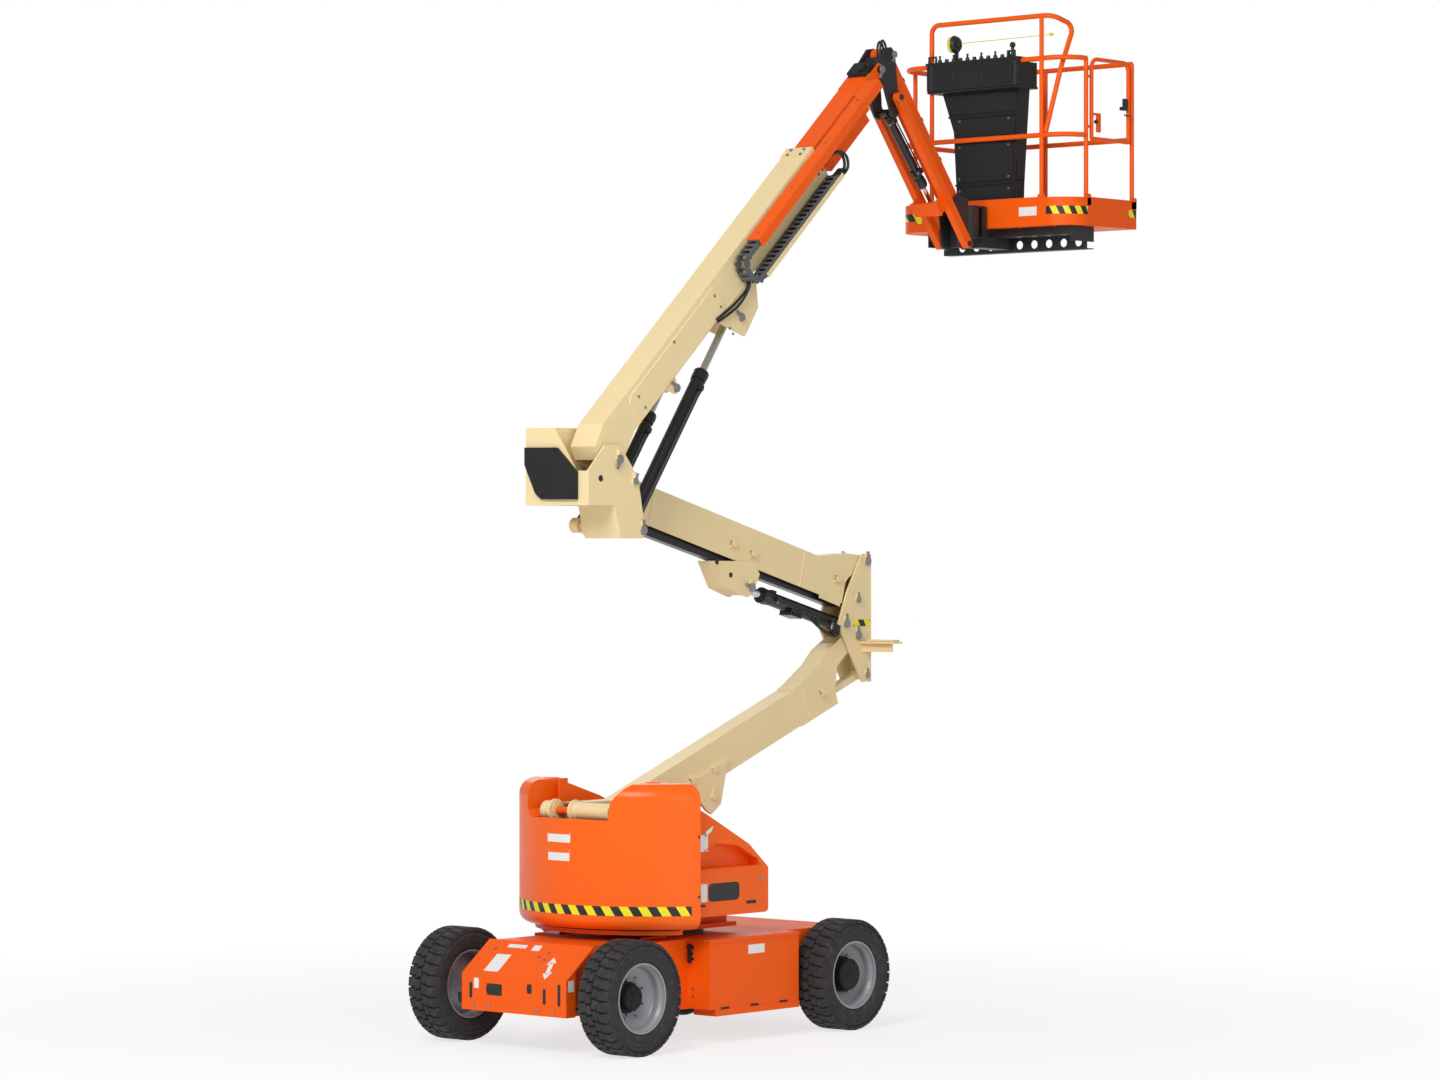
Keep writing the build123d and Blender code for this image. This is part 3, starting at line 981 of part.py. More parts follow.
def platform_gate():
    """Entry gate between two posts on the near side."""
    i = RAIL_DIA / 2 + TOE_THICK + SEAT
    y = DECK_Y0 + i
    a, b = GATE_X0 + 62, DECK_X1 - i - 42
    frame = [(a, y, MID_RAIL_Z - 20), (a, y, TOP_RAIL_Z), (b, y, TOP_RAIL_Z), (b, y, MID_RAIL_Z - 20)]
    loop = rail(frame, [60, 60], 28)
    foot = Pos((a + b) / 2, y, MID_RAIL_Z - 20) * (Rot(0, 90, 0) * Cylinder(14, b - a))
    hinges = []
    for z in (MID_RAIL_Z + 60, TOP_RAIL_Z - 120):
        start = GATE_X0 + POST_DIA / 2 + SEAT
        hinges.append(Pos((a + start) / 2, y, z) * (Rot(0, 90, 0) * Cylinder(9, a - start)))
    return fused(loop, foot, hinges)


def control_console():
    """Platform control box over its tapered shroud."""
    x0 = DECK_X0 + 46
    box = block(x0, x0 + 150, BOOM_Y - 335, BOOM_Y + 445, 6205, 6378)
    shroud = Plane.YZ * make_face(Polyline((BOOM_Y - 300, 6206), (BOOM_Y - 280, 5930), (BOOM_Y - 255, 5560),
                                           (BOOM_Y - 245, DECK_Z + SEAT), (BOOM_Y + 235, DECK_Z + SEAT),
                                           (BOOM_Y + 275, 5930), (BOOM_Y + 375, 6206), close=True))
    shroud = Pos(x0 + 10, 0, 0) * extrude(shroud, 105)
    return box + shroud


# ---------------------------------------------------------------- one STEP file for each sub-part
def pieces():
    found = {
        "chassis_frame": chassis_frame(),
        "battery_box_left": battery_box(1),
        "battery_box_right": battery_box(-1),
        "steer_axle": steer_axle(),
        "drive_axle": drive_axle(),
        "tie_rod": tie_rod(),
        "knuckle_left": knuckle(1),
        "knuckle_right": knuckle(-1),
        "swing_bearing": swing_bearing(),
        "turntable_frame": turntable_frame(),
        "tail_shell": tail_shell(),
        "counterweight": counterweight(),
        "side_hood_left": side_hood(1),
        "side_hood_right": side_hood(-1),
        "lower_tower_boom": lower_tower_boom(),
        "lower_tower_link": tower_link(add(ROOT, LINK_STEP), add(ELBOW, LINK_STEP)),
        "mid_upright": mid_upright(),
        "upper_tower_boom": upper_tower_boom(),
        "upper_tower_link": upper_link(),
        "upper_upright": upper_upright(),
        "main_boom": main_boom(),
        "fly_boom": fly_boom(),
        "chain_base": chain_base(),
        "chain_run": chain_run(),
        "jib_bracket": jib_bracket(),
        "jib_upper_tube": jib_upper_tube(),
        "jib_lower_tubes": jib_lower_tubes(),
        "rotator_bracket": rotator_bracket(),
        "platform_support": platform_support(),
        "platform_floor": platform_floor(),
        "platform_rails": platform_rails(),
        "platform_gate": platform_gate(),
        "control_console": control_console(),
    }
    wheels = {"steer_left": (-1, 1), "steer_right": (-1, -1), "drive_left": (1, 1), "drive_right": (1, -1)}
    for name, (end, side) in wheels.items():
        found["tyre_" + name] = tyre(end * WHEELBASE / 2, side)
        found["rim_" + name] = rim(end * WHEELBASE / 2, side, end > 0)
    # foot pin, rod eye, y, barrel radius, rod radius, rod outside, further stroke, pin radius, half width
    tower_half = TOWER_WIDTH / 2
    boom_half = BOOM_WIDTH / 2 - PLATE
    rams = {
        "lower_lift": (LOWER_CYL_FOOT, LOWER_LUG, TOWER_Y, 46.0, 26.0, 262.0, 516.0, PIN_R,
                       tower_half - TOWER_WALL),
        "upper_lift": (UPPER_CYL_FOOT, UPPER_LUG, TOWER_Y, 46.0, 26.0, 192.0, 374.0, PIN_R, tower_half),
        "main_lift": (LIFT_FOOT, boom_point(LIFT_EYE), BOOM_Y, 44.0, 25.0, 430.0, 246.0, PIN_R, boom_half),
        "level": (LEVEL_FOOT, boom_point(LEVEL_EYE), BOOM_Y, 36.0, 17.0, 196.0, 105.0, LEVEL_PIN_R,
                  boom_half),
        "jib": (JIB_CYL_FOOT, JIB_CYL_EYE, BOOM_Y, 30.0, 15.0, 150.0, 200.0, JIB_PIN_R, JIB_SLIM_Y - 26),
    }
    for name, row in rams.items():
        found[name + "_barrel"], found[name + "_rod"] = cylinder(*row)
    return found


def boom_point(local):
    return in_line(BOOM_PIVOT, BOOM_ANGLE, [local])[0]


def main():
    os.makedirs("parts", exist_ok=True)
    for name, piece in pieces().items():
        export_step(piece, "parts/" + name + ".step")


main()
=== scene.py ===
"""Articulating boom lift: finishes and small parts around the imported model, laid out as an add-on."""

import math

import bmesh
import bpy
from mathutils import Matrix, Vector


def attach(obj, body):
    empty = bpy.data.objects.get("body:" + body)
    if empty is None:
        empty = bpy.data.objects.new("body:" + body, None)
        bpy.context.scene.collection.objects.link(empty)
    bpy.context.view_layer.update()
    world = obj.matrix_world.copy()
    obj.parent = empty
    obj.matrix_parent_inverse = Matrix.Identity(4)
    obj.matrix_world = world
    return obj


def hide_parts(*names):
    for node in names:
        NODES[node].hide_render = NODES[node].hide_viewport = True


bl_info = {
    "name": "Articulating boom lift",
    "version": (1, 0, 0),
    "blender": (4, 5, 0),
    "location": "View3D > Sidebar > Boom lift",
    "description": "Builds the finishes and small parts of an articulating boom lift round its frame",
    "category": "Object",
}

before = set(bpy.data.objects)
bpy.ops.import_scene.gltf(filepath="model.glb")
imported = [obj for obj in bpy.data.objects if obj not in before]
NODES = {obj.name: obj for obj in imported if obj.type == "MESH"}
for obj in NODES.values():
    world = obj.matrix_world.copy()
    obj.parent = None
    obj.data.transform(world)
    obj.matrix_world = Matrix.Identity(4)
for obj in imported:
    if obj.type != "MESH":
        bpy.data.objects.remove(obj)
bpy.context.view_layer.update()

MM = 0.001
NOSE_FRONT, NOSE_FLAT, NOSE_SIDE = -1.278, -1.030, 0.440


# ---------------------------------------------------------------- colour and node helpers
def linear(hex_colour, alpha=1.0):
    """sRGB hex such as 'c8102e' as the linear colour that a socket takes."""
    parts = [int(hex_colour[i:i + 2], 16) / 255 for i in (0, 2, 4)]
    return tuple(p / 12.92 if p <= 0.04045 else ((p + 0.055) / 1.055) ** 2.4 for p in parts) + (alpha,)


def add_node(tree, kind, links=None, **settings):
    """Adds a node, sets its sockets and properties, and links its inputs; returns it."""
    node = tree.nodes.new(kind)
    for key, value in settings.items():
        if key.startswith("in_"):
            name = key[3:].replace("_", " ")
            socket = node.inputs[int(name)] if name.isdigit() else node.inputs[name]
            socket.default_value = value
        else:
            setattr(node, key, value)
    for key, source in (links or {}).items():
        tree.links.new(source, node.inputs[key])
    return node


# ---------------------------------------------------------------- finishes
def finish(name, colour, rough, metallic=0.0, coat=0.0, grain_mm=2.0, grain=0.05, mottle=0.03,
           patch_mm=350.0, patch_rough=0.06, spots=None, shine=0.5):
    """A finish with broad tone patches, a fine relief and uneven gloss, all sized in millimetres."""
    material = bpy.data.materials.new(name)
    material.use_nodes = True
    tree = material.node_tree
    tree.nodes.clear()
    place = add_node(tree, "ShaderNodeTexCoord").outputs["Object"]
    patches = add_node(tree, "ShaderNodeTexNoise", {"Vector": place}, in_Scale=1 / (patch_mm * MM),
                       in_Detail=3.0)
    dark, light = [tuple(min(1.0, c * k) for c in linear(colour)[:3]) + (1.0,)
                   for k in (1 - mottle, 1 + mottle)]
    tone = add_node(tree, "ShaderNodeMix", {"Factor": patches.outputs["Fac"]}, data_type="RGBA")
    tone.inputs[6].default_value, tone.inputs[7].default_value = dark, light
    base = tone.outputs[2]
    if spots:
        spot_colour, spot_mm, amount = spots
        dust = add_node(tree, "ShaderNodeTexNoise", {"Vector": place}, in_Scale=1 / (spot_mm * MM),
                        in_Detail=6.0, in_Roughness=0.7)
        keep = add_node(tree, "ShaderNodeMapRange", {"Value": dust.outputs["Fac"]}, in_1=0.5, in_2=0.75,
                        in_3=0.0, in_4=amount)
        over = add_node(tree, "ShaderNodeMix", {"Factor": keep.outputs[0], 6: base}, data_type="RGBA")
        over.inputs[7].default_value = linear(spot_colour)
        base = over.outputs[2]
    relief = add_node(tree, "ShaderNodeTexNoise", {"Vector": place}, in_Scale=1 / (grain_mm * MM),
                      in_Detail=2.0)
    bump = add_node(tree, "ShaderNodeBump", {"Height": relief.outputs["Fac"]}, in_Strength=grain,
                    in_Distance=grain_mm * MM)
    gloss = add_node(tree, "ShaderNodeMapRange", {"Value": patches.outputs["Fac"]}, in_1=0.3, in_2=0.7,
                     in_3=rough - patch_rough, in_4=rough + patch_rough)
    shader = add_node(tree, "ShaderNodeBsdfPrincipled",
                      {"Base Color": base, "Roughness": gloss.outputs[0],
                       "Normal": bump.outputs[0]}, in_Metallic=metallic)
    shader.inputs["Specular IOR Level"].default_value = shine
    shader.inputs["Coat Weight"].default_value = coat
    shader.inputs["Coat Roughness"].default_value = 0.12
    add_node(tree, "ShaderNodeOutputMaterial", {"Surface": shader.outputs[0]})
    return material


def hazard_tape(name, pitch_mm=95.0, radius=0.0):
    """Vinyl tape with slanting bands, laid round a drum of the given radius or along flat sides."""
    material = finish(name, "1b1b1c", 0.42, grain_mm=1.5, grain=0.02)
    tree = material.node_tree
    place = add_node(tree, "ShaderNodeTexCoord").outputs["Object"]
    axes = add_node(tree, "ShaderNodeSeparateXYZ", {"Vector": place})
    x, y, z = (axes.outputs[k] for k in "XYZ")
    if radius:
        turn = add_node(tree, "ShaderNodeMath", {0: y, 1: x}, operation="ARCTAN2")
        along = add_node(tree, "ShaderNodeMath", {0: turn.outputs[0]}, operation="MULTIPLY",
                         in_1=radius).outputs[0]
    else:
        along = add_node(tree, "ShaderNodeMath", {0: x, 1: y}, operation="SUBTRACT").outputs[0]
    lean = add_node(tree, "ShaderNodeMath", {0: z}, operation="MULTIPLY", in_1=0.62)
    slant = add_node(tree, "ShaderNodeMath", {0: along, 1: lean.outputs[0]}, operation="ADD")
    steps = add_node(tree, "ShaderNodeMath", {0: slant.outputs[0]}, operation="DIVIDE", in_1=pitch_mm * MM)
    part = add_node(tree, "ShaderNodeMath", {0: steps.outputs[0]}, operation="FRACT")
    band = add_node(tree, "ShaderNodeMath", {0: part.outputs[0]}, operation="GREATER_THAN", in_1=0.5)
    shader = [n for n in tree.nodes if n.type == "BSDF_PRINCIPLED"][0]
    ground = shader.inputs["Base Color"].links[0].from_socket
    mix = add_node(tree, "ShaderNodeMix", {"Factor": band.outputs[0], 6: ground}, data_type="RGBA")
    mix.inputs[7].default_value = linear("f2e414")
    tree.links.new(mix.outputs[2], shader.inputs["Base Color"])
    return material


def make_finishes():
    """Every finish on the machine, named for what it really is."""
    return {
        # two-pack enamel sprayed on steel: clean colour, soft gloss, a faint orange-peel
        "orange_enamel": finish("orange_enamel", "f65e08", 0.44, grain_mm=3.0, grain=0.04, shine=0.22),
        "cream_enamel": finish("cream_enamel", "ecd6a4", 0.46, grain_mm=3.0, grain=0.04, mottle=0.02,
                               shine=0.3),
        # gel-coated moulded cover: deeper gloss and a long slow ripple
        "gelcoat_orange": finish("gelcoat_orange", "f8640c", 0.34, grain_mm=40.0, grain=0.02, shine=0.28),
        # powder coat on small brackets and cylinders
        "black_powder_coat": finish("black_powder_coat", "242425", 0.46, grain_mm=1.6, grain=0.12),
        "black_enamel": finish("black_enamel", "151516", 0.34, coat=0.1, grain_mm=2.5, grain=0.05),
        # grained ABS of the console and shroud
        "black_abs": finish("black_abs", "1c1c1d", 0.50, grain_mm=2.2, grain=0.22, shine=0.35),
        "chain_nylon": finish("chain_nylon", "58595b", 0.50, grain_mm=2.0, grain=0.1),
        # ground and hard-chromed rod
        "hard_chrome": finish("hard_chrome", "c9cbcd", 0.12, metallic=1.0, grain_mm=1.2, grain=0.02,
                              patch_rough=0.03),
        "zinc_plate": finish("zinc_plate", "9fa1a4", 0.38, metallic=1.0, grain_mm=1.5, grain=0.08),
        "grey_rim_paint": finish("grey_rim_paint", "94969a", 0.42, coat=0.1, grain_mm=2.5, grain=0.06),
        "cast_iron_black": finish("cast_iron_black", "1b1b1b", 0.58, grain_mm=4.0, grain=0.35, shine=0.3),
        # natural-rubber tyre: dull black with pale dust caught in it
        "tyre_rubber": finish("tyre_rubber", "2c2b2c", 0.80, grain_mm=3.0, grain=0.25,
                              spots=("5a5550", 60.0, 0.5)),
        "hose_rubber": finish("hose_rubber", "19191a", 0.55, grain_mm=1.5, grain=0.1),
        "blank_label": finish("blank_label", "e9e9e6", 0.45, grain_mm=1.5, grain=0.02),
        # black label film; the same dark finish is also painted shade in slots and holes
        "black_label_and_hole_shade": finish("black_label_and_hole_shade", "161617", 0.40, grain_mm=1.5, grain=0.02),
        "shell_tape": hazard_tape("shell_tape", 118.0, 0.845),
        "flat_tape": hazard_tape("flat_tape", 118.0),
        "signal_yellow": finish("signal_yellow", "e8d820", 0.45, grain_mm=1.5, grain=0.05),
    }


NODE_FINISH = {
    "orange_enamel": ["chassis_frame", "battery_box_left", "battery_box_right", "turntable_frame",
                      "fly_boom", "jib_upper_tube", "jib_lower_tubes", "platform_floor", "platform_rails",
                      "platform_gate"],
    "gelcoat_orange": ["tail_shell", "side_hood_left", "side_hood_right"],
    "cream_enamel": ["lower_tower_link", "lower_tower_boom", "mid_upright", "upper_tower_boom",
                     "upper_upright", "main_boom"],
    "black_enamel": ["upper_tower_link", "lower_lift_barrel", "upper_lift_barrel",
                     "main_lift_barrel", "level_barrel", "jib_barrel"],
    "hard_chrome": ["lower_lift_rod", "upper_lift_rod", "main_lift_rod", "level_rod", "jib_rod"],
    "black_powder_coat": ["steer_axle", "drive_axle", "knuckle_left", "knuckle_right", "tie_rod",
                          "jib_bracket", "rotator_bracket", "platform_support", "swing_bearing"],
    "cast_iron_black": ["counterweight"],
    "black_abs": ["control_console"],
    "chain_nylon": ["chain_base", "chain_run"],
    "grey_rim_paint": ["rim_steer_left", "rim_steer_right", "rim_drive_left", "rim_drive_right"],
    "tyre_rubber": ["tyre_steer_left", "tyre_steer_right", "tyre_drive_left", "tyre_drive_right"],
}
FINISH = {}


def paint(obj, finish_name):
    """Gives an object one finish in its first material slot."""
    if obj.data.materials:
        obj.data.materials[0] = FINISH[finish_name]
    else:
        obj.data.materials.append(FINISH[finish_name])
    return obj


# ---------------------------------------------------------------- shared makers
def finished(bm, name, body, finish_name, bevel=0.0, smooth=True, angle=35.0):
    """Turns a bmesh into a piece that rides on a body, with its place in its mesh."""
    mesh = bpy.data.meshes.new(name)
    bm.normal_update()
    bm.to_mesh(mesh)
    bm.free()
    piece = bpy.data.objects.new(name, mesh)
    bpy.context.scene.collection.objects.link(piece)
    if smooth:
        for face in mesh.polygons:
            face.use_smooth = True
        mesh.set_sharp_from_angle(angle=math.radians(angle))
    if bevel:
        soft = piece.modifiers.new("edge", "BEVEL")
        soft.width, soft.segments, soft.limit_method, soft.angle_limit = bevel, 2, "ANGLE", math.radians(40)
        soft.harden_normals = False
    paint(piece, finish_name)
    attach(piece, body)
    return piece


def add_block(bm, low, high, turn=None, pivot=None):
    """Box between two corners, turned about a pivot if asked."""
    size = [max(h - l, 1e-5) for l, h in zip(low, high)]
    middle = Vector([(l + h) / 2 for l, h in zip(low, high)])
    made = bmesh.ops.create_cube(bm, size=1.0,
                                 matrix=Matrix.Translation(middle) @ Matrix.Diagonal((*size, 1)))
    if turn is not None:
        bmesh.ops.rotate(bm, verts=made["verts"], cent=Vector(pivot or middle), matrix=turn)
    return made["verts"]


def add_disc(bm, centre, axis, radius, length, sides=24, tip=None):
    """Short round bar centred on a point, with an optional smaller tip radius."""
    far = radius if tip is None else tip
    made = bmesh.ops.create_cone(bm, cap_ends=True, segments=sides, radius1=radius, radius2=far,
                                 depth=length)
    turn = Vector((0, 0, 1)).rotation_difference(Vector(axis)).to_matrix().to_4x4()
    bmesh.ops.transform(bm, matrix=Matrix.Translation(Vector(centre)) @ turn, verts=made["verts"])
    return made["verts"]


def add_tube(bm, points, radius, sides=10, closed=False):
    """Round tube through a row of points, built by bridging rings."""
    rings = []
    count = len(points)
    for i, p in enumerate(points):
        p = Vector(p)
        before = Vector(points[i - 1]) if i or closed else p
        after = Vector(points[(i + 1) % count]) if i < count - 1 or closed else p
        way = (after - before).normalized()
        turn = Vector((0, 0, 1)).rotation_difference(way).to_matrix().to_4x4()
        made = bmesh.ops.create_circle(bm, segments=sides, radius=radius,
                                       matrix=Matrix.Translation(p) @ turn)
        rings.append(sorted({e for v in made["verts"] for e in v.link_edges
                             if e.other_vert(v) in made["verts"]},
                            key=lambda e: e.index))
    pairs = list(zip(rings, rings[1:])) + ([(rings[-1], rings[0])] if closed else [])
    for a, b in pairs:
        bmesh.ops.bridge_loops(bm, edges=a + b)
    if not closed:
        bmesh.ops.contextual_create(bm, geom=rings[0])
        bmesh.ops.contextual_create(bm, geom=rings[-1])


def add_bolt(bm, centre, axis, size=None):
    """Hexagon head on a washer, of the user's bolt size unless another is given."""
    size = size or sizes().bolt_size
    way = Vector(axis).normalized()
    add_disc(bm, Vector(centre) + way * size * 0.1, way, size * 1.15, size * 0.25, 16)
    add_disc(bm, Vector(centre) + way * size * 0.55, way, size * 0.95, size * 0.75, 6)


# ---------------------------------------------------------------- sizes and colours a user would change
class LiftSizes(bpy.types.PropertyGroup):
    """Sizes of the small parts that are added to the frame."""
    bolt_size: bpy.props.FloatProperty(name="Bolt size", description="Half width of a hexagon head",
                                       default=0.011, min=0.004, unit="LENGTH")
    hose_radius: bpy.props.FloatProperty(name="Hose radius", description="Radius of a hydraulic hose",
                                         default=0.0085, min=0.003, unit="LENGTH")
    lug_count: bpy.props.IntProperty(name="Tread lugs",
                                     description="Tread lugs round one shoulder of a tyre",
                                     default=32, min=8)
    lug_height: bpy.props.FloatProperty(name="Lug height",
                                        description="How far a tread lug stands off the tyre",
                                        default=0.014, min=0.002, unit="LENGTH")
    chain_pitch: bpy.props.FloatProperty(name="Carrier pitch",
                                         description="Length of one cable carrier link",
                                         default=0.046, min=0.02, unit="LENGTH")


class LiftColours(bpy.types.PropertyGroup):
    """Tones of the stage."""
    floor_tone: bpy.props.FloatVectorProperty(name="Floor", description="Colour of the studio floor",
                                              subtype="COLOR",
                                              size=3, default=(0.93, 0.93, 0.93), min=0.0, max=1.0)
    key_strength: bpy.props.FloatProperty(name="Key light", description="Power of the large soft lamp",
                                          default=1320.0, min=0.0, unit="POWER")


def sizes():
    return bpy.context.scene.lift_sizes


# ---------------------------------------------------------------- stage
class LIFT_OT_stage(bpy.types.Operator):
    """Pale floor, soft lamps and the camera"""
    bl_idname = "lift.stage"
    bl_label = "Stage"

    def execute(self, context):
        scene = context.scene
        scene.view_settings.view_transform = "Standard"
        tones = scene.lift_colours
        # floor: matt and pale, blended into the plain background further out
        mesh = bpy.data.meshes.new("floor")
        bm = bmesh.new()
        bmesh.ops.create_circle(bm, cap_ends=True, segments=96, radius=60.0)
        bm.to_mesh(mesh)
        bm.free()
        floor = bpy.data.objects.new("floor", mesh)
        scene.collection.objects.link(floor)
        ground = bpy.data.materials.new("studio_floor")
        ground.use_nodes = True
        tree = ground.node_tree
        tree.nodes.clear()
        rays = add_node(tree, "ShaderNodeLightPath")
        seen = add_node(tree, "ShaderNodeMath",
                        {0: rays.outputs["Is Camera Ray"], 1: rays.outputs["Is Glossy Ray"]},
                        operation="MAXIMUM")
        matt = add_node(tree, "ShaderNodeBsdfDiffuse", in_Color=(*tones.floor_tone, 1.0))
        glow = add_node(tree, "ShaderNodeEmission", in_Color=(1.0, 1.0, 1.0, 1.0), in_Strength=1.0)
        place = add_node(tree, "ShaderNodeTexCoord").outputs["Object"]
        reach = add_node(tree, "ShaderNodeVectorMath", {0: place}, operation="LENGTH").outputs["Value"]
        fade = add_node(tree, "ShaderNodeMapRange", {"Value": reach}, in_1=2.5, in_2=7.0, in_3=0.72,
                        in_4=1.0)
        share = add_node(tree, "ShaderNodeMath", {0: fade.outputs[0], 1: seen.outputs[0]},
                         operation="MULTIPLY")
        mix = add_node(tree, "ShaderNodeMixShader",
                       {0: share.outputs[0], 1: matt.outputs[0], 2: glow.outputs[0]})
        add_node(tree, "ShaderNodeOutputMaterial", {"Surface": mix.outputs[0]})
        floor.data.materials.append(ground)
        # even sky that also shows as plain white behind the machine
        world = bpy.data.worlds.new("studio")
        scene.world = world
        world.use_nodes = True
        tree = world.node_tree
        tree.nodes.clear()
        rays = add_node(tree, "ShaderNodeLightPath")
        sky = add_node(tree, "ShaderNodeBackground", in_Color=(1.0, 1.0, 1.0, 1.0), in_Strength=0.40)
        back = add_node(tree, "ShaderNodeBackground", in_Color=(1.0, 1.0, 1.0, 1.0), in_Strength=1.0)
        mix = add_node(tree, "ShaderNodeMixShader", {0: rays.outputs["Is Camera Ray"], 1: sky.outputs[0],
                                                     2: back.outputs[0]})
        add_node(tree, "ShaderNodeOutputWorld", {"Surface": mix.outputs[0]})
        for name, place, aim, size, power in (
                ("key", (-11.0, -4.5, 10.5), (0.5, 0.0, 2.5), 7.0, tones.key_strength),
                ("front_fill", (-6.0, -15.0, 5.0), (0.5, 0.0, 3.0), 8.0, tones.key_strength * 0.27),
                ("back_fill", (9.0, 10.0, 8.0), (0.5, 0.0, 3.0), 8.0, tones.key_strength * 0.22)):
            lamp = bpy.data.lights.new(name, "AREA")
            lamp.shape, lamp.size, lamp.energy = "DISK", size, power
            holder = bpy.data.objects.new(name, lamp)
            holder.location = place
            holder.rotation_euler = (Vector(aim) - Vector(place)).to_track_quat("-Z", "Y").to_euler()
            scene.collection.objects.link(holder)
        lens = bpy.data.cameras.new("camera")
        lens.sensor_width, lens.lens, lens.clip_end = 36.0, 114.45, 200.0
        camera = bpy.data.objects.new("camera", lens)
        camera.location = (-21.5626, -19.3310, 3.1258)
        camera.rotation_euler = Vector((0.7543, 0.6566, 0.0)).to_track_quat("-Z", "Y").to_euler()
        scene.collection.objects.link(camera)
        scene.camera = camera
        return {"FINISHED"}


class LIFT_OT_paintwork(bpy.types.Operator):
    """Enamel, powder coat, chrome and rubber on the frame's own parts"""
    bl_idname = "lift.paintwork"
    bl_label = "Paintwork"

    def execute(self, context):
        FINISH.update(make_finishes())
        for finish_name, nodes in NODE_FINISH.items():
            for node in nodes:
                paint(NODES[node], finish_name)
        return {"FINISHED"}


# ---------------------------------------------------------------- wheels
WHEELS = {
    # name: which end of the chassis, which side, whether it drives
    "steer_left": (-1, 1, False), "steer_right": (-1, -1, False),
    "drive_left": (1, 1, True), "drive_right": (1, -1, True),
}
TYRE_RADIUS, WHEEL_X, WHEEL_Y = 0.354, 1.010, 0.718
# tyre carcass, across the wheel and out from its axle
CARCASS = ((-94, 215.5), (-108, 228), (-115, 262), (-115, 300), (-109, 324), (-94, 338), (94, 338),
           (109, 324),
           (115, 300), (115, 262), (108, 228), (94, 215.5))
# planetary hub of a driven wheel and plain hub of a steered one, out from the disc
DRIVE_HUB = ((-34, 20), (-34, 113), (6, 113), (11, 109), (11, 100), (58, 100), (65, 95), (68, 84), (68, 44),
             (74, 40), (74, 20))
STEER_HUB = ((-34, 20), (-34, 98), (-20, 98), (-17, 82), (24, 80), (32, 74), (36, 40), (42, 36), (42, 20))


def spun(bm, profile, centre, side=1, steps=64):
    """Ring swept round Y through a centre, from a closed profile in mm across and out."""
    rim_verts = [bm.verts.new((centre[0], centre[1] + side * y * MM, centre[2] + r * MM)) for y,
                 r in profile]
    wire = [bm.edges.new(pair) for pair in zip(rim_verts, rim_verts[1:] + rim_verts[:1])]
    swept = bmesh.ops.spin(bm, geom=rim_verts + wire, cent=centre, axis=(0, 1, 0), angle=math.tau,
                           steps=steps, use_merge=True)
    bmesh.ops.recalc_face_normals(bm, faces=bm.faces[:])
    return swept


def tread_lug(bm, centre, turn, across, along, lift, skew, taper=0.86):
    """Tread lug: a block on the tyre's crown, narrower at its top, then carried round the axle."""
    y0, y1 = across
    top = TYRE_RADIUS - 0.0012
    verts = add_block(bm, (centre[0] - along / 2, y0, centre[2] + top - lift),
                      (centre[0] + along / 2, y1, centre[2] + top))
    middle = Vector((centre[0], (y0 + y1) / 2, centre[2] + top))
    for v in verts:
        if v.co.z > centre[2] + top - lift / 2:
            v.co = middle + (v.co - middle) * taper
    bmesh.ops.rotate(bm, verts=verts, cent=middle, matrix=Matrix.Rotation(skew, 3, "Z"))
    bmesh.ops.rotate(bm, verts=verts, cent=centre, matrix=Matrix.Rotation(turn, 3, "Y"))
    return verts


class LIFT_OT_tyres(bpy.types.Operator):
    """Block-tread tyres"""
    bl_idname = "lift.tyres"
    bl_label = "Tyres"

    def execute(self, context):
        set_up = sizes()
        pitch = math.tau / set_up.lug_count
        for name, (end, side, _) in WHEELS.items():
            centre = Vector((end * WHEEL_X, side * WHEEL_Y, TYRE_RADIUS))
            bm = bmesh.new()
            spun(bm, CARCASS, centre)
            arc = pitch * TYRE_RADIUS
            for n in range(set_up.lug_count):
                for hand in (-1, 1):
                    turn = (n + 0.25 * hand) * pitch
                    mid = centre.y
                    # crown block, shoulder bar and the foot that runs down the shoulder
                    for y0, y1, along, skew, lift, shift in (
                            (2, 50, 0.86, 0.26, set_up.lug_height + 0.004, 0.0),
                            (44, 104, 0.84, 0.08, set_up.lug_height + 0.002, 0.16)):
                        a, b = sorted((mid + hand * y0 * MM, mid + hand * y1 * MM))
                        tread_lug(bm, centre, turn + shift * pitch * hand, (a, b), arc * along, lift,
                                  skew * hand)
                    foot = tread_lug(bm, centre, turn + 0.16 * pitch * hand,
                                     sorted((mid + hand * 88 * MM, mid + hand * 115.5
                                             * MM)), arc * 0.84, 0.026, 0.0, 0.97)
                    # lean the foot in at its top so the shoulder is rounded
                    for v in foot:
                        out = math.hypot(v.co.x - centre.x, v.co.z - centre.z)
                        if out > TYRE_RADIUS - 0.02 and abs(v.co.y - mid) > 0.1:
                            v.co.y -= hand * 0.008
                            v.co.x += (centre.x - v.co.x) * 0.012
                            v.co.z += (centre.z - v.co.z) * 0.012
            piece = finished(bm, "tyre_tread_" + name, "wheel_" + name, "tyre_rubber", 0.0015)
            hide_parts("tyre_" + name)
            bm = bmesh.new()
            for r, half in ((262, 1.6), (290, 1.1), (296, 1.1)):
                ring = ((113.5, r - half), (116.2, r - half * 0.5), (116.2, r + half * 0.5),
                        (113.5, r + half))
                for hand in (-1, 1):
                    spun(bm, ring, centre, hand)
            finished(bm, "sidewall_ribs_" + name, "wheel_" + name, "tyre_rubber")
        return {"FINISHED"}


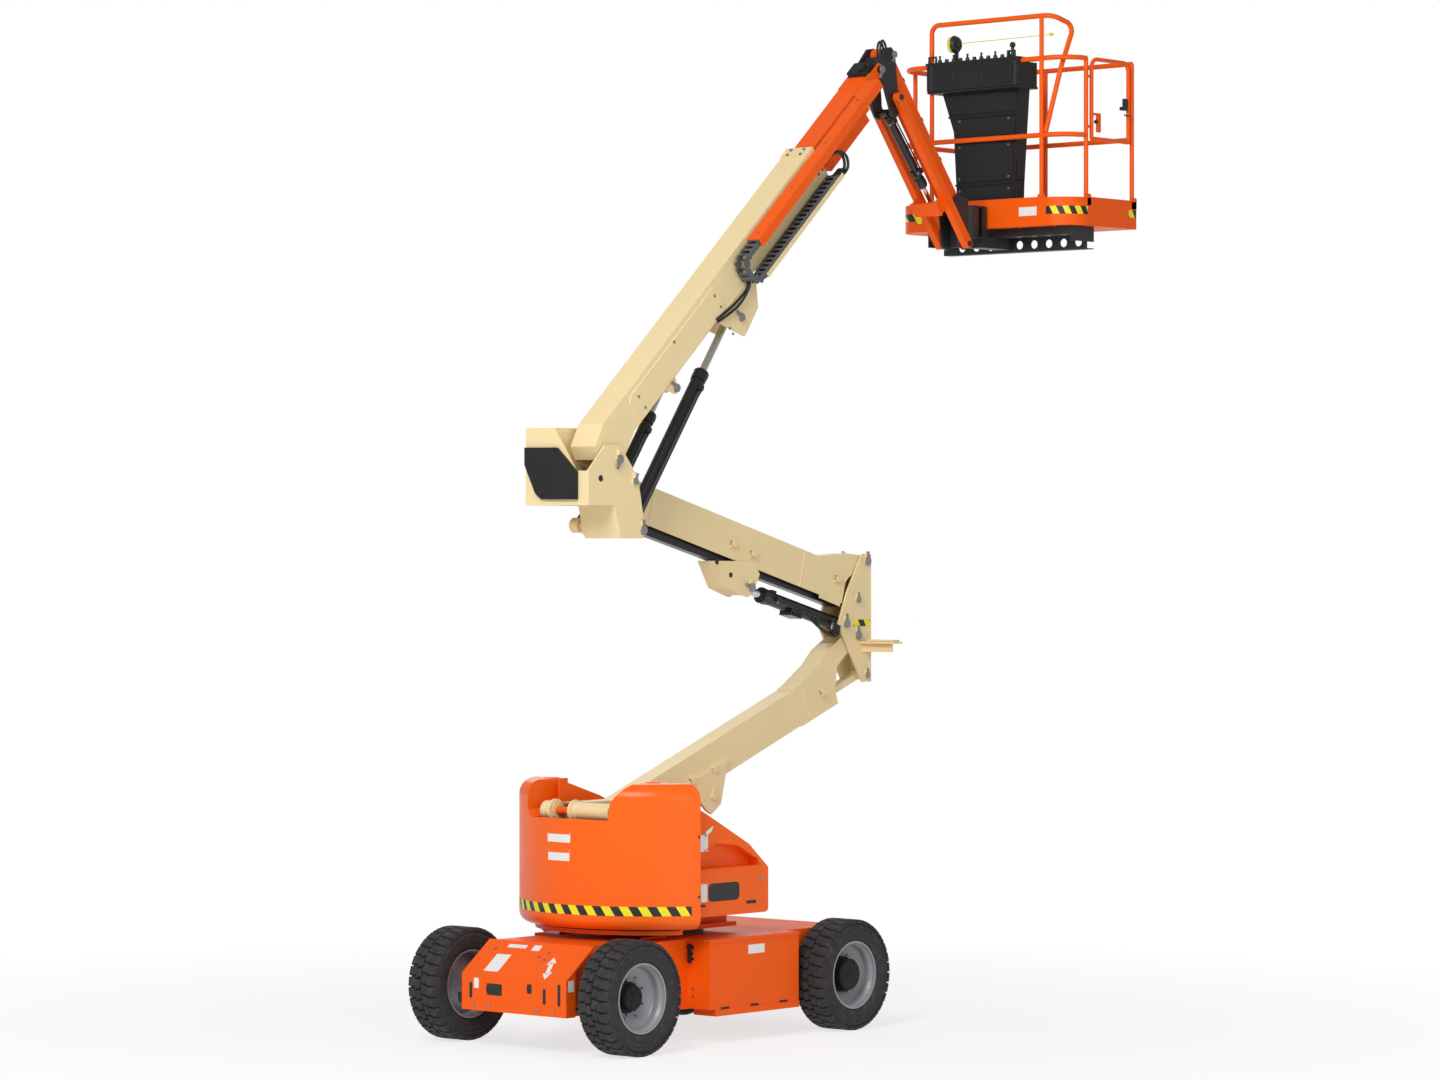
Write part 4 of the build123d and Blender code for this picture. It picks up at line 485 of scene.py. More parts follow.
class LIFT_OT_hubs(bpy.types.Operator):
    """Hubs, wheel nuts and rim lips"""
    bl_idname = "lift.hubs"
    bl_label = "Hubs and wheel nuts"

    def execute(self, context):
        for name, (end, side, driven) in WHEELS.items():
            centre = Vector((end * WHEEL_X, side * WHEEL_Y, TYRE_RADIUS))
            bm = bmesh.new()
            spun(bm, DRIVE_HUB if driven else STEER_HUB, centre, side, 48)
            cap_out = 0.076 if driven else 0.043
            add_disc(bm, centre + Vector((0, side * (cap_out - 0.014), 0)), (0, side, 0), 0.021, 0.030, 24,
                     0.019)
            count, ring, face = (12, 0.080, 0.068) if driven else (6, 0.060, 0.035)
            for n in range(count):
                a = math.tau * n / count
                spot = centre + Vector((math.cos(a) * ring, side * (face - 0.002), math.sin(a) * ring))
                add_bolt(bm, spot, (0, side, 0), 0.0065)
            finished(bm, "hub_" + name, "wheel_" + name, "cast_iron_black", 0.0008)
            bm = bmesh.new()
            for n in range(9):
                a = math.tau * (n + 0.5) / 9
                spot = centre + Vector((math.cos(a) * 0.134, side * -0.031, math.sin(a) * 0.134))
                add_bolt(bm, spot, (0, side, 0), 0.0105)
                add_disc(bm, spot + Vector((0, side * 0.016, 0)), (0, side, 0), 0.006, 0.016, 12)
            finished(bm, "wheel_nuts_" + name, "wheel_" + name, "zinc_plate")
            bm = bmesh.new()
            lip = ((98.5, 204), (98.5, 214), (101.5, 216.5), (103, 214), (101, 204))
            spun(bm, lip, centre, side)
            # well step and the weld of the disc
            spun(bm, ((40, 191.5), (40, 194), (58, 194), (58, 191.5)), centre, side)
            spun(bm, ((10, 186), (22, 194), (12, 194)), centre, side)
            finished(bm, "rim_lip_" + name, "wheel_" + name, "grey_rim_paint")
        return {"FINISHED"}


# ---------------------------------------------------------------- labels, tape and covers
def add_label(bm, centre, across, up, width, height, thick=0.0012, corner=0.0):
    """Thin plate on a surface, from its centre and the two directions it lies along."""
    across, up = Vector(across).normalized(), Vector(up).normalized()
    out = across.cross(up).normalized()
    turn = Matrix((across, up, out)).transposed().to_4x4()
    made = bmesh.ops.create_cube(bm, size=1.0, matrix=Matrix.Translation(Vector(centre)) @ turn
                                 @ Matrix.Diagonal((width, height, thick, 1)))
    if corner:
        edges = [e for e in {e for v in made["verts"] for e in v.link_edges}
                 if abs((e.verts[0].co - e.verts[1].co).normalized().dot(out)) > 0.9]
        bmesh.ops.bevel(bm, geom=edges, offset=corner, affect="EDGES", segments=4, profile=0.5, material=-1)
    return made["verts"]


def add_shaded_opening(bm, centre, across, up, width, height, depth=0.006):
    """Rounded opening drawn as a shallow tray let into a surface; in a dark finish it is painted shade that
    stands for the shaded inside of the opening.
    """
    add_label(bm, centre, across, up, width, height, depth, min(width, height) * 0.42)


def drum_patch(bm, radius, low, high, start, end, thick=0.0015, steps=40, axis=(0.0, 0.0)):
    """Strip that follows the round tail cover, between two heights and two angles in degrees."""
    way = Vector((math.cos(math.radians(start)), math.sin(math.radians(start))))
    ring = [bm.verts.new((axis[0] + r * way.x, axis[1] + r * way.y, z))
            for r, z in ((radius, low), (radius + thick, low), (radius + thick, high), (radius, high))]
    wire = [bm.edges.new(pair) for pair in zip(ring, ring[1:] + ring[:1])]
    bmesh.ops.contextual_create(bm, geom=wire)
    swept = bmesh.ops.spin(bm, geom=ring + wire, cent=(*axis, 0), axis=(0, 0, 1),
                           angle=math.radians(end - start),
                           steps=steps, use_merge=False)
    bmesh.ops.contextual_create(bm,
                                geom=[g for g in swept["geom_last"] if isinstance(g, bmesh.types.BMEdge)])
    bmesh.ops.recalc_face_normals(bm, faces=bm.faces[:])


class LIFT_OT_tail_trim(bpy.types.Operator):
    """Tape, plates, screws, bosses and pin sleeves on the tail cover"""
    bl_idname = "lift.tail_trim"
    bl_label = "Tail cover trim"

    def execute(self, context):
        bm = bmesh.new()
        drum_patch(bm, 0.8450, 0.814, 0.872, 122.0, 238.2)
        finished(bm, "tail_hazard_tape", "turntable", "shell_tape")
        bm = bmesh.new()
        for low, high, a0, a1 in ((1.256, 1.325, 171.2, 184.6), (1.142, 1.211, 171.6, 184.2)):
            drum_patch(bm, 0.8450, low, high, a0, a1, 0.0008, 12)
        finished(bm, "tail_plates", "turntable", "blank_label")
        bm = bmesh.new()
        for low, high, a0, a1 in ((1.306, 1.325, 171.3, 184.5), (1.192, 1.211, 171.7, 184.1)):
            drum_patch(bm, 0.8458, low, high, a0, a1, 0.0004, 12)
        finished(bm, "tail_plate_headers", "turntable", "gelcoat_orange")
        # screws and moulded lifting bosses
        bm = bmesh.new()
        for side in (-1, 1):
            for z in (0.93, 1.30):
                add_bolt(bm, (-0.405, side * 0.7425, z), (0.28, side * 0.72, 0), 0.008)
        finished(bm, "tail_screws", "turntable", "black_powder_coat")
        bm = bmesh.new()
        for side in (-1, 1):
            add_disc(bm, (-0.482, side * 0.43, 1.6235), (0, 0, 1), 0.058, 0.014, 32, 0.046)
        finished(bm, "tail_top_bosses", "turntable", "gelcoat_orange", 0.003)
        # root pin sleeves in the notch, cream with turned grooves
        bm = bmesh.new()
        for y0, y1 in ((-0.286, 0.0265), (0.2135, 0.286)):
            profile = [(y0, 12), (y0, 56), (y0 + 0.004, 60), (y0 + 0.020, 60), (y0 + 0.024, 55.0),
                       (y1 - 0.03, 55.0),
                       (y1 - 0.026, 60), (y1 - 0.006, 60), (y1, 56), (y1, 12)]
            spun(bm, [(y / MM, r) for y, r in profile], Vector((-0.683, 0.0, 1.440)), 1, 40)
        # cream collars that hide the plates' edges round the pin
        for y0, y1 in ((24, 45), (195, 216)):
            spun(bm, ((y0, 30), (y0, 68), (y0 + 3, 71), (y1 - 3, 71), (y1, 68), (y1, 30)),
                 Vector((-0.683, 0.0, 1.440)), 1, 40)
        finished(bm, "root_pin_sleeves", "turntable", "cream_enamel", 0.0008)
        return {"FINISHED"}


class LIFT_OT_hood_trim(bpy.types.Operator):
    """Badges, plates, edge trim and latch of the two side hoods"""
    bl_idname = "lift.hood_trim"
    bl_label = "Hood trim"

    def execute(self, context):
        for side, word in ((-1, "right"), (1, "left")):
            body, face = "hood_" + word, side * 0.6554
            along = (-side, 0, 0)
            bm = bmesh.new()
            add_label(bm, (-0.070, face, 0.9385), along, (0, 0, 1), 0.292, 0.112, 0.0014, 0.030)
            # the two rounded slots below the badge are dark trays of painted shade for shaded openings
            add_shaded_opening(bm, (0.190, face, 0.861), along, (0, 0, 1), 0.095, 0.020, 0.002)
            add_shaded_opening(bm, (-0.270, face, 0.861), along, (0, 0, 1), 0.050, 0.016, 0.002)
            finished(bm, "hood_badge_" + word, body, "black_label_and_hole_shade")
            bm = bmesh.new()
            add_label(bm, (-0.258, face, 1.248), along, (0, 0, 1), 0.072, 0.104, 0.001)
            add_label(bm, (-0.258, face, 0.940), along, (0, 0, 1), 0.058, 0.112, 0.001)
            add_label(bm, (-0.212, face, 1.320), (-side, 0, 0.5), (0.5, 0, 1), 0.075, 0.040, 0.001)
            finished(bm, "hood_plates_" + word, body, "blank_label")
            # edge trim round the arched opening
            bm = bmesh.new()
            arch = [(-0.327, 1.085), (-0.327, 1.165), (-0.150, 1.245), (0.060, 1.225), (0.250, 1.130),
                    (0.270, 1.085)]
            ring = [(x, side * 0.6545, z) for x, z in arch]
            add_tube(bm, ring, 0.0045, 8, True)
            finished(bm, "hood_edge_trim_" + word, body, "gelcoat_orange")
            bm = bmesh.new()
            add_disc(bm, (0.285, side * 0.657, 1.000), (0, side, 0), 0.017, 0.006, 24, 0.015)
            add_block(bm, (0.277, min(side * 0.655, side * 0.664), 0.996),
                      (0.293, max(side * 0.655, side * 0.664), 1.004))
            finished(bm, "hood_latch_" + word, body, "zinc_plate", 0.0006)
        return {"FINISHED"}


# ---------------------------------------------------------------- chassis
class LIFT_OT_chassis_trim(bpy.types.Operator):
    """Plates, lashing slots, bolts and box fittings on the chassis"""
    bl_idname = "lift.chassis_trim"
    bl_label = "Chassis trim"

    def execute(self, context):
        nose, lip, flat = NOSE_FRONT, 0.455, NOSE_FLAT
        rise = Vector((flat - nose, 0, 0.648 - lip))
        up = rise.normalized()
        across = Vector((0, -1, 0))
        out = across.cross(up)

        def on_slope(share, y, lift=0.001):
            return Vector((nose, 0, lip)) + rise * share + Vector((0, y, 0)) + out * lift

        bm = bmesh.new()
        add_label(bm, on_slope(0.842, 0.163), across, up, 0.155, 0.030)
        add_label(bm, on_slope(0.831, -0.002), across, up, 0.064, 0.048)
        add_label(bm, on_slope(0.344, 0.217), across, up, 0.120, 0.155)
        add_label(bm, (nose - 0.0006, 0.316, 0.398), (0, -1, 0), (0, 0, 1), 0.040, 0.062)
        for side in (-1, 1):
            add_label(bm, (0.181, side * 0.7056, 0.571), (-side, 0, 0), (0, 0, 1), 0.154, 0.056)
            add_label(bm, (-1.235, side * (NOSE_SIDE + 0.0006), 0.42), (-side, 0, 0), (0, 0, 1), 0.05, 0.07)
        finished(bm, "chassis_plates", "chassis", "blank_label")
        # direction arrow: plain shaft and head on the slope
        bm = bmesh.new()
        tilt = Matrix.Rotation(math.radians(18), 3, out)
        shaft, wide = tilt @ up, tilt @ across
        add_label(bm, on_slope(0.302, -0.231), wide, shaft, 0.030, 0.110)
        for end in (-1, 1):
            tip = bmesh.ops.create_cone(bm, cap_ends=True, segments=3, radius1=0.040, radius2=0.040,
                                        depth=0.0012)
            face = Matrix((wide, shaft * end, wide.cross(shaft * end))).transposed().to_4x4()
            bmesh.ops.transform(bm, verts=tip["verts"],
                                matrix=Matrix.Translation(on_slope(0.302, -0.231) + shaft * end * 0.062)
                                @ face)
        finished(bm, "direction_arrow", "chassis", "blank_label")
        # painted shade: dark trays that stand for the shaded mouths of the lashing slots and the hole in the
        # nose plate
        bm = bmesh.new()
        for y, z, wide_mm, tall_mm in ((0.165, 0.366, 132, 72), (-0.132, 0.388, 40, 59),
                                       (0.363, 0.3525, 24, 97),
                                       (-0.257, 0.349, 24, 96), (-0.380, 0.364, 24, 134)):
            add_shaded_opening(bm, (nose + 0.006, y, z), (0, -1, 0), (0, 0, 1), wide_mm * MM, tall_mm * MM, 0.0130)
        for x, z, wide_mm, tall_mm in ((-0.2624, 0.600, 46, 26), (-0.2624, 0.562, 34, 20),
                                       (-0.2624, 0.528, 44, 16)):
            for side in (-1, 1):
                add_shaded_opening(bm, (x, side * 0.552, z), (0, -1, 0), (0, 0, 1), wide_mm * MM, tall_mm * MM, 0.006)
        finished(bm, "nose_opening_shade", "chassis", "black_label_and_hole_shade")
        bm = bmesh.new()
        for y in (-0.345, -0.205, 0.205, 0.345):
            if abs(y) < NOSE_SIDE - 0.02:
                add_bolt(bm, (nose - 0.0002, y * 0.98, 0.262), (-1, 0, 0), 0.008)
        for share, y in ((0.725, -0.129), (0.598, -0.079), (0.524, -0.138), (0.725, 0.322)):
            add_bolt(bm, on_slope(share, y, 0.0), out, 0.007)
        for side in (-1, 1):
            for z in (0.30, 0.345):
                add_bolt(bm, (-0.2622, side * 0.57, z), (-1, 0, 0), 0.008)
            for x in (0.70, 0.86, 1.16, 1.30):
                add_bolt(bm, (x, side * 0.5562, 0.60), (0, side, 0), 0.009)
        finished(bm, "chassis_bolts", "chassis", "zinc_plate")
        # box fittings: rubber latch, lid lip, hinge row
        bm = bmesh.new()
        for side in (-1, 1):
            face = -0.263
            add_label(bm, (face - 0.004, side * 0.545, 0.560), (0, -1, 0), (0, 0, 1), 0.026, 0.120, 0.008,
                      0.010)
            add_disc(bm, (face - 0.010, side * 0.545, 0.606), (-1, 0, 0), 0.014, 0.014, 20)
            add_block(bm, (face - 0.018, side * 0.545 - 0.008, 0.515), (face, side * 0.545 + 0.008, 0.545))
            for x in (-0.12, 0.16, 0.44):
                add_disc(bm, (x, side * 0.706, 0.222), (1, 0, 0), 0.008, 0.07, 12)
        finished(bm, "box_latches", "chassis", "black_powder_coat", 0.0008)
        bm = bmesh.new()
        for side in (-1, 1):
            # folded lip of the box and the stiffening bead along its face
            add_block(bm, (-0.262, min(side * 0.700, side * 0.7095), 0.640),
                      (0.600, max(side * 0.700, side * 0.7095), 0.652))
            add_block(bm, (-0.205, min(side * 0.699, side * 0.712), 0.176),
                      (0.592, max(side * 0.699, side * 0.712), 0.216))
            # turned-out flanges of the deck round the swing bearing
            add_block(bm, (-0.50, side * 0.34 - 0.004, 0.648), (-0.26, side * 0.34 + 0.004, 0.662))
        finished(bm, "box_lips", "chassis", "orange_enamel", 0.0015)
        return {"FINISHED"}


# ---------------------------------------------------------------- places on the tower and booms
TOWER_NEAR, TOWER_FAR, TOWER_MID = 0.050, 0.190, 0.120
BOOM_MID, BOOM_NEAR, BOOM_FAR = -0.135, -0.240, -0.030
BOOM_ROOT, BOOM_TILT = Vector((-0.620, 0.0, 3.625)), math.radians(42.4)


def on_boom(along, up, y=0.0):
    """Point on the main boom, from its distance along and above its own line."""
    c, s = math.cos(BOOM_TILT), math.sin(BOOM_TILT)
    return BOOM_ROOT + Vector((along * c - up * s, y, along * s + up * c))


BOOM_WAY = (on_boom(1, 0) - BOOM_ROOT).normalized()
BOOM_UP = (on_boom(0, 1) - BOOM_ROOT).normalized()

RAMS = {
    # name: foot x and z, rod eye x and z, y, barrel radius, rod left outside
    "lower_lift": ((-0.420, 0.830), (0.619, 1.476), TOWER_MID, 0.046, 0.262),
    "upper_lift": ((1.945, 2.569), (0.987, 2.817), TOWER_MID, 0.046, 0.192),
    "main_lift": ((-0.400, 3.187), tuple(on_boom(1.497, -0.118).xz), BOOM_MID, 0.044, 0.430),
    "level": ((-0.475, 3.488), tuple(on_boom(0.722, -0.043).xz), BOOM_MID, 0.036, 0.196),
    "jib": ((2.175, 5.968), (2.668, 5.388), BOOM_MID, 0.030, 0.150),
}


def add_pin(bm, x, y, z, radius, keeper, side=-1):
    """Pin end with its keeper bar and the two screws that hold it."""
    out = Vector((0, side, 0))
    add_disc(bm, Vector((x, y, z)) + out * 0.004, out, radius, 0.010, 28, radius * 0.94)
    add_disc(bm, Vector((x, y, z)) + out * 0.009, out, radius * 0.34, 0.004, 16)
    along = Vector((math.cos(keeper), 0, math.sin(keeper)))
    middle = Vector((x, y, z)) + along * radius * 1.35 + out * 0.003
    add_label(bm, middle, along, out.cross(along), radius * 1.7, radius * 0.8, 0.006, 0.004)
    for share in (-0.45, 0.45):
        add_bolt(bm, middle + out * 0.003 + along * radius * share * 0.9 + along * radius * 0.2, out, 0.0062)


def hose_run(bm, points, radius, steps=8):
    """Hose through a few guide points, rounded with a smooth curve between them."""
    nodes = [Vector(p) for p in points]
    nodes = [nodes[0] * 2 - nodes[1]] + nodes + [nodes[-1] * 2 - nodes[-2]]
    line = []
    for a, b, c, d in zip(nodes, nodes[1:], nodes[2:], nodes[3:]):
        for k in range(steps):
            t = k / steps
            line.append(0.5 * (2 * b + (c - a) * t + (2 * a - 5 * b + 4 * c - d) * t ** 2
                               + (3 * b - a - 3 * c + d) * t ** 3))
    add_tube(bm, line + [nodes[-2]], radius, 10)


def hose_end(bm, at, way, size=0.011):
    """Crimped sleeve and hexagon nut of a hose."""
    way = Vector(way).normalized()
    add_disc(bm, Vector(at) + way * 0.008, way, size, 0.016, 6)
    add_disc(bm, Vector(at) + way * 0.030, way, size * 0.92, 0.030, 16, size * 0.86)


class LIFT_OT_cylinders(bpy.types.Operator):
    """Glands, ports, hard lines and scraper lips on the cylinders"""
    bl_idname = "lift.cylinders"
    bl_label = "Cylinder fittings"

    def execute(self, context):
        for name, (foot, eye, y, radius, outside) in RAMS.items():
            start, end = Vector((foot[0], y, foot[1])), Vector((eye[0], y, eye[1]))
            way = (end - start).normalized()
            down = Vector((0, 1, 0)).cross(way)
            down = down if down.z < 0 else -down
            tip = (end - start).length - outside
            body = name + "_barrel"
            bm = bmesh.new()
            # gland nut with its spanner slots, and the weld ring at the foot
            for at, reach, size in ((tip - 0.078, 0.006, 1.10), (tip - 0.014, 0.010, 1.16),
                                    (radius * 1.25, 0.008, 1.06)):
                add_disc(bm, start + way * at, way, radius * size, reach, 36)
            for n in range(6):
                turn = Matrix.Rotation(math.tau * n / 6, 3, way)
                out = turn @ down
                add_label(bm, start + way * (tip - 0.040) + out * (radius + 0.0065), way, way.cross(out),
                          0.022, 0.010, 0.004)
            # port blocks and the hard line that joins them along the barrel
            side = Vector((0, -1, 0))
            a = start + way * (radius * 1.9) + side * (radius + 0.010)
            b = start + way * (tip - 0.130) + side * (radius + 0.010)
            for spot in (a, b):
                add_label(bm, spot, way, down, 0.040, 0.034, 0.024, 0.004)
            add_tube(bm, [a + side * 0.006, a + side * 0.014 + way * 0.03, b + side * 0.014 - way * 0.03,
                          b + side * 0.006], 0.0052, 10)
            finished(bm, name + "_fittings", body, "black_enamel", 0.0006)
            bm = bmesh.new()
            hose_end(bm, a + down * 0.014, down, 0.0095)
            add_disc(bm, b + down * 0.020, down, 0.008, 0.012, 6)
            finished(bm, name + "_couplings", body, "zinc_plate")
            # scraper lip round the rod
            bm = bmesh.new()
            add_disc(bm, start + way * (tip - 0.001), way, radius * 0.72, 0.006, 32)
            finished(bm, name + "_scraper", body, "hose_rubber")
        return {"FINISHED"}


class LIFT_OT_tower_trim(bpy.types.Operator):
    """Pins, keepers, cover, tabs and weld beads of the tower"""
    bl_idname = "lift.tower_trim"
    bl_label = "Tower trim"

    def execute(self, context):
        kite, kite_far = 0.027 - 0.014, 0.213 + 0.014
        # pin ends of the kite plates: x, z, radius, keeper direction in degrees
        kite_pins = ((2.166, 2.984, 0.030, 90), (2.067, 2.490, 0.030, 90), (1.945, 2.569, 0.030, 90),
                     (2.162, 2.222, 0.022, 90), (2.067, 2.727, 0.022, 90))
        bm = bmesh.new()
        for x, z, radius, keeper in kite_pins:
            add_pin(bm, x, kite, z, radius, math.radians(keeper), -1)
            add_pin(bm, x, kite_far, z, radius, math.radians(keeper), 1)
        finished(bm, "kite_pin_ends", "mid_upright", "zinc_plate", 0.0006)
        bm = bmesh.new()
        add_label(bm, (2.118, 0.0263, 2.573), (1, 0, 0), (0, 0, 1), 0.170, 0.044, 0.0012)
        add_label(bm, (2.118, 0.2137, 2.573), (-1, 0, 0), (0, 0, 1), 0.170, 0.044, 0.0012)
        finished(bm, "kite_hazard_tape", "mid_upright", "flat_tape")
        # thin pad on the shelf
        bm = bmesh.new()
        add_block(bm, (2.092, -0.255, 2.4505), (2.172, -0.040, 2.462))
        finished(bm, "boom_rest_pad", "mid_upright", "cream_enamel", 0.003)
        # weld beads down the edges of the kite's front plate
        bm = bmesh.new()
        for y in (0.0262, 0.2138):
            add_tube(bm, [(2.206, y, 2.215), (2.206, y, 3.000)], 0.0030, 8)
        finished(bm, "kite_weld_beads", "mid_upright", "cream_enamel")

        # upper boom: lug pin, holes, hose guide tabs
        bm = bmesh.new()
        add_pin(bm, 0.987, 0.035 - 0.014, 2.817, 0.030, math.radians(160), -1)
        add_pin(bm, 0.987, 0.205 + 0.014, 2.817, 0.030, math.radians(20), 1)
        add_disc(bm, (2.166, TOWER_NEAR - 0.002, 2.984), (0, -1, 0), 0.040, 0.006, 32)
        finished(bm, "upper_lug_pin_ends", "upper_tower", "zinc_plate", 0.0006)
        # painted shade: black discs that stand for the shaded insides of two holes in the lug
        bm = bmesh.new()
        for x, z in ((0.791, 2.900), (0.655, 2.985)):
            add_disc(bm, (x, 0.0345, z), (0, -1, 0), 0.017, 0.002, 28)
        finished(bm, "upper_lug_hole_shade", "upper_tower", "black_label_and_hole_shade")
        bm = bmesh.new()
        for x, z, turn in ((0.824, 3.104, 15), (1.022, 3.040, 15), (1.883, 2.871, 15)):
            self.tab(bm, x, TOWER_NEAR, z, math.radians(-turn))
        finished(bm, "upper_hose_guides", "upper_tower", "cream_enamel", 0.0015)
        # weld beads across the sides of the upper boom
        bm = bmesh.new()
        for x0, z0, x1, z1 in ((0.070, 3.452, 0.006, 3.212), (1.560, 3.053, 1.500, 2.822)):
            add_tube(bm, [(x0, TOWER_NEAR - 0.001, z0), (x1, TOWER_NEAR - 0.001, z1)], 0.0040, 8)
            add_tube(bm, [(x0, TOWER_FAR + 0.001, z0), (x1, TOWER_FAR + 0.001, z1)], 0.0040, 8)
        finished(bm, "upper_boom_welds", "upper_tower", "cream_enamel")

        # lower boom: hose guide tabs and weld beads
        bm = bmesh.new()
        for x, z in ((1.727, 2.122), (0.637, 1.650), (0.426, 1.589)):
            self.tab(bm, x, TOWER_NEAR, z, math.radians(21))
        finished(bm, "lower_hose_guides", "lower_tower", "cream_enamel", 0.0015)
        bm = bmesh.new()
        for x0, z0, x1, z1 in ((1.521, 2.160, 1.606, 1.952), (0.190, 1.640, 0.270, 1.432)):
            for y in (TOWER_NEAR - 0.001, TOWER_FAR + 0.001):
                add_tube(bm, [(x0, y, z0), (x1, y, z1)], 0.0040, 8)
        finished(bm, "lower_boom_welds", "lower_tower", "cream_enamel")

        # upright: pins on the near plate, lightening hole drawn as a black disc of painted shade, and the
        # cover on its back
        bm = bmesh.new()
        for x, z, radius, keeper in ((-0.620, 3.625, 0.030, 250), (-0.475, 3.490, 0.024, 70),
                                     (-0.400, 3.187, 0.030, 90)):
            add_pin(bm, x, -0.267 - 0.013, z, radius, math.radians(keeper), -1)
            add_pin(bm, x, 0.000, z, radius, math.radians(keeper), 1)
        finished(bm, "mast_pin_ends", "upper_upright", "zinc_plate", 0.0006)
        # painted shade: black disc for the shaded inside of the lightening hole
        bm = bmesh.new()
        add_disc(bm, (-0.781, -0.2674, 3.506), (0, -1, 0), 0.020, 0.002, 28)
        finished(bm, "mast_hole_shade", "upper_upright", "black_label_and_hole_shade")
        outline = ((0.258, 3.700), (-0.012, 3.697), (-0.180, 3.546), (-0.180, 3.376), (0.116, 3.378),
                   (0.167, 3.415),
                   (0.258, 3.592))
        bm = bmesh.new()
        corners = [bm.verts.new((-0.8896, y, z)) for y, z in outline]
        bmesh.ops.contextual_create(bm, geom=corners)
        made = bmesh.ops.extrude_face_region(bm, geom=bm.faces[:])
        bmesh.ops.translate(bm, verts=[g for g in made["geom"] if isinstance(g, bmesh.types.BMVert)],
                            vec=(-0.022, 0, 0))
        bmesh.ops.recalc_face_normals(bm, faces=bm.faces[:])
        for y, z in ((0.235, 3.680), (-0.003, 3.676), (-0.155, 3.400), (0.110, 3.402)):
            add_bolt(bm, (-0.911, y, z), (-1, 0, 0), 0.009)
        finished(bm, "mast_rear_cover", "upper_upright", "black_abs", 0.004)
        return {"FINISHED"}

    def tab(self, bm, x, y, z, turn):
        """Bent strap that holds hoses against the boom's side."""
        along = Vector((math.cos(turn), 0, math.sin(turn)))
        up = Vector((-math.sin(turn), 0, math.cos(turn)))
        base = Vector((x, y, z))
        for lift in (0.026, -0.026):
            add_label(bm, base + up * lift - Vector((0, 0.004 - 0.001, 0)), along, up, 0.050, 0.020, 0.006,
                      0.003)
        add_label(bm, base - Vector((0, 0.022, 0)), along, up, 0.050, 0.046, 0.005, 0.003)
        for lift in (-0.020, 0.020):
            add_label(bm, base + up * lift - Vector((0, 0.012, 0)), along, Vector((0, 1, 0)), 0.050, 0.024,
                      0.005, 0.002)


class LIFT_OT_tower_hoses(bpy.types.Operator):
    """Hoses clamped along the tower"""
    bl_idname = "lift.tower_hoses"
    bl_label = "Tower hoses"

    def execute(self, context):
        r = sizes().hose_radius
        # short loops of hose below the foot of the upper cylinder
        bm = bmesh.new()
        for k in range(3):
            y, sag = 0.036 - 0.019 * k, 0.012 * k
            hose_run(bm, [(1.560 + 0.03 * k, y, 2.635 - 0.008 * k), (1.640, y, 2.575 - sag),
                          (1.720, y, 2.532 - sag),
                          (1.790, y, 2.512 - sag), (1.838, y, 2.532 - sag), (1.850, y,
                                                                             2.572 - 0.006 * k)], r)
        finished(bm, "kite_hoses", "upper_lift_barrel", "hose_rubber")
        # valve block under the barrel
        bm = bmesh.new()
        add_block(bm, (1.430, 0.060, 2.618), (1.540, 0.165, 2.664),
                  Matrix.Rotation(math.radians(14.5), 3, "Y"))
        for k in range(3):
            add_disc(bm, (1.455 + 0.030 * k, 0.056, 2.646 - 0.008 * k), (0, -1, 0), 0.010, 0.016, 6)
        finished(bm, "upper_lift_valve", "upper_lift_barrel", "black_enamel", 0.002)
        # painted collar round the rear eye of the upper link
        bm = bmesh.new()
        spun(bm, ((88, 14), (88, 44), (92, 47), (148, 47), (152, 44), (152, 14)),
             Vector((-0.574, 0.0, 3.218)), 1, 36)
        finished(bm, "link_collar", "upper_link", "cream_enamel")
        # hoses that rise up the inside of the upright to the boom's foot
        bm = bmesh.new()
        for k in range(3):
            y = -0.190 + 0.022 * k
            hose_run(bm, [(-0.520, y, 3.160), (-0.560, y, 3.260), (-0.640, y, 3.380), (-0.700, y, 3.480),
                          (-0.700, y, 3.560)], r)
        finished(bm, "mast_hoses", "upper_upright", "hose_rubber")
        return {"FINISHED"}


# ---------------------------------------------------------------- main boom, fly boom and cable carrier
CHAIN_BEND, CHAIN_LOW, CHAIN_HIGH, CHAIN_TIP = 1.760, -0.028, 0.2057, 2.800
CHAIN_Y0, CHAIN_Y1 = -0.340, -0.258


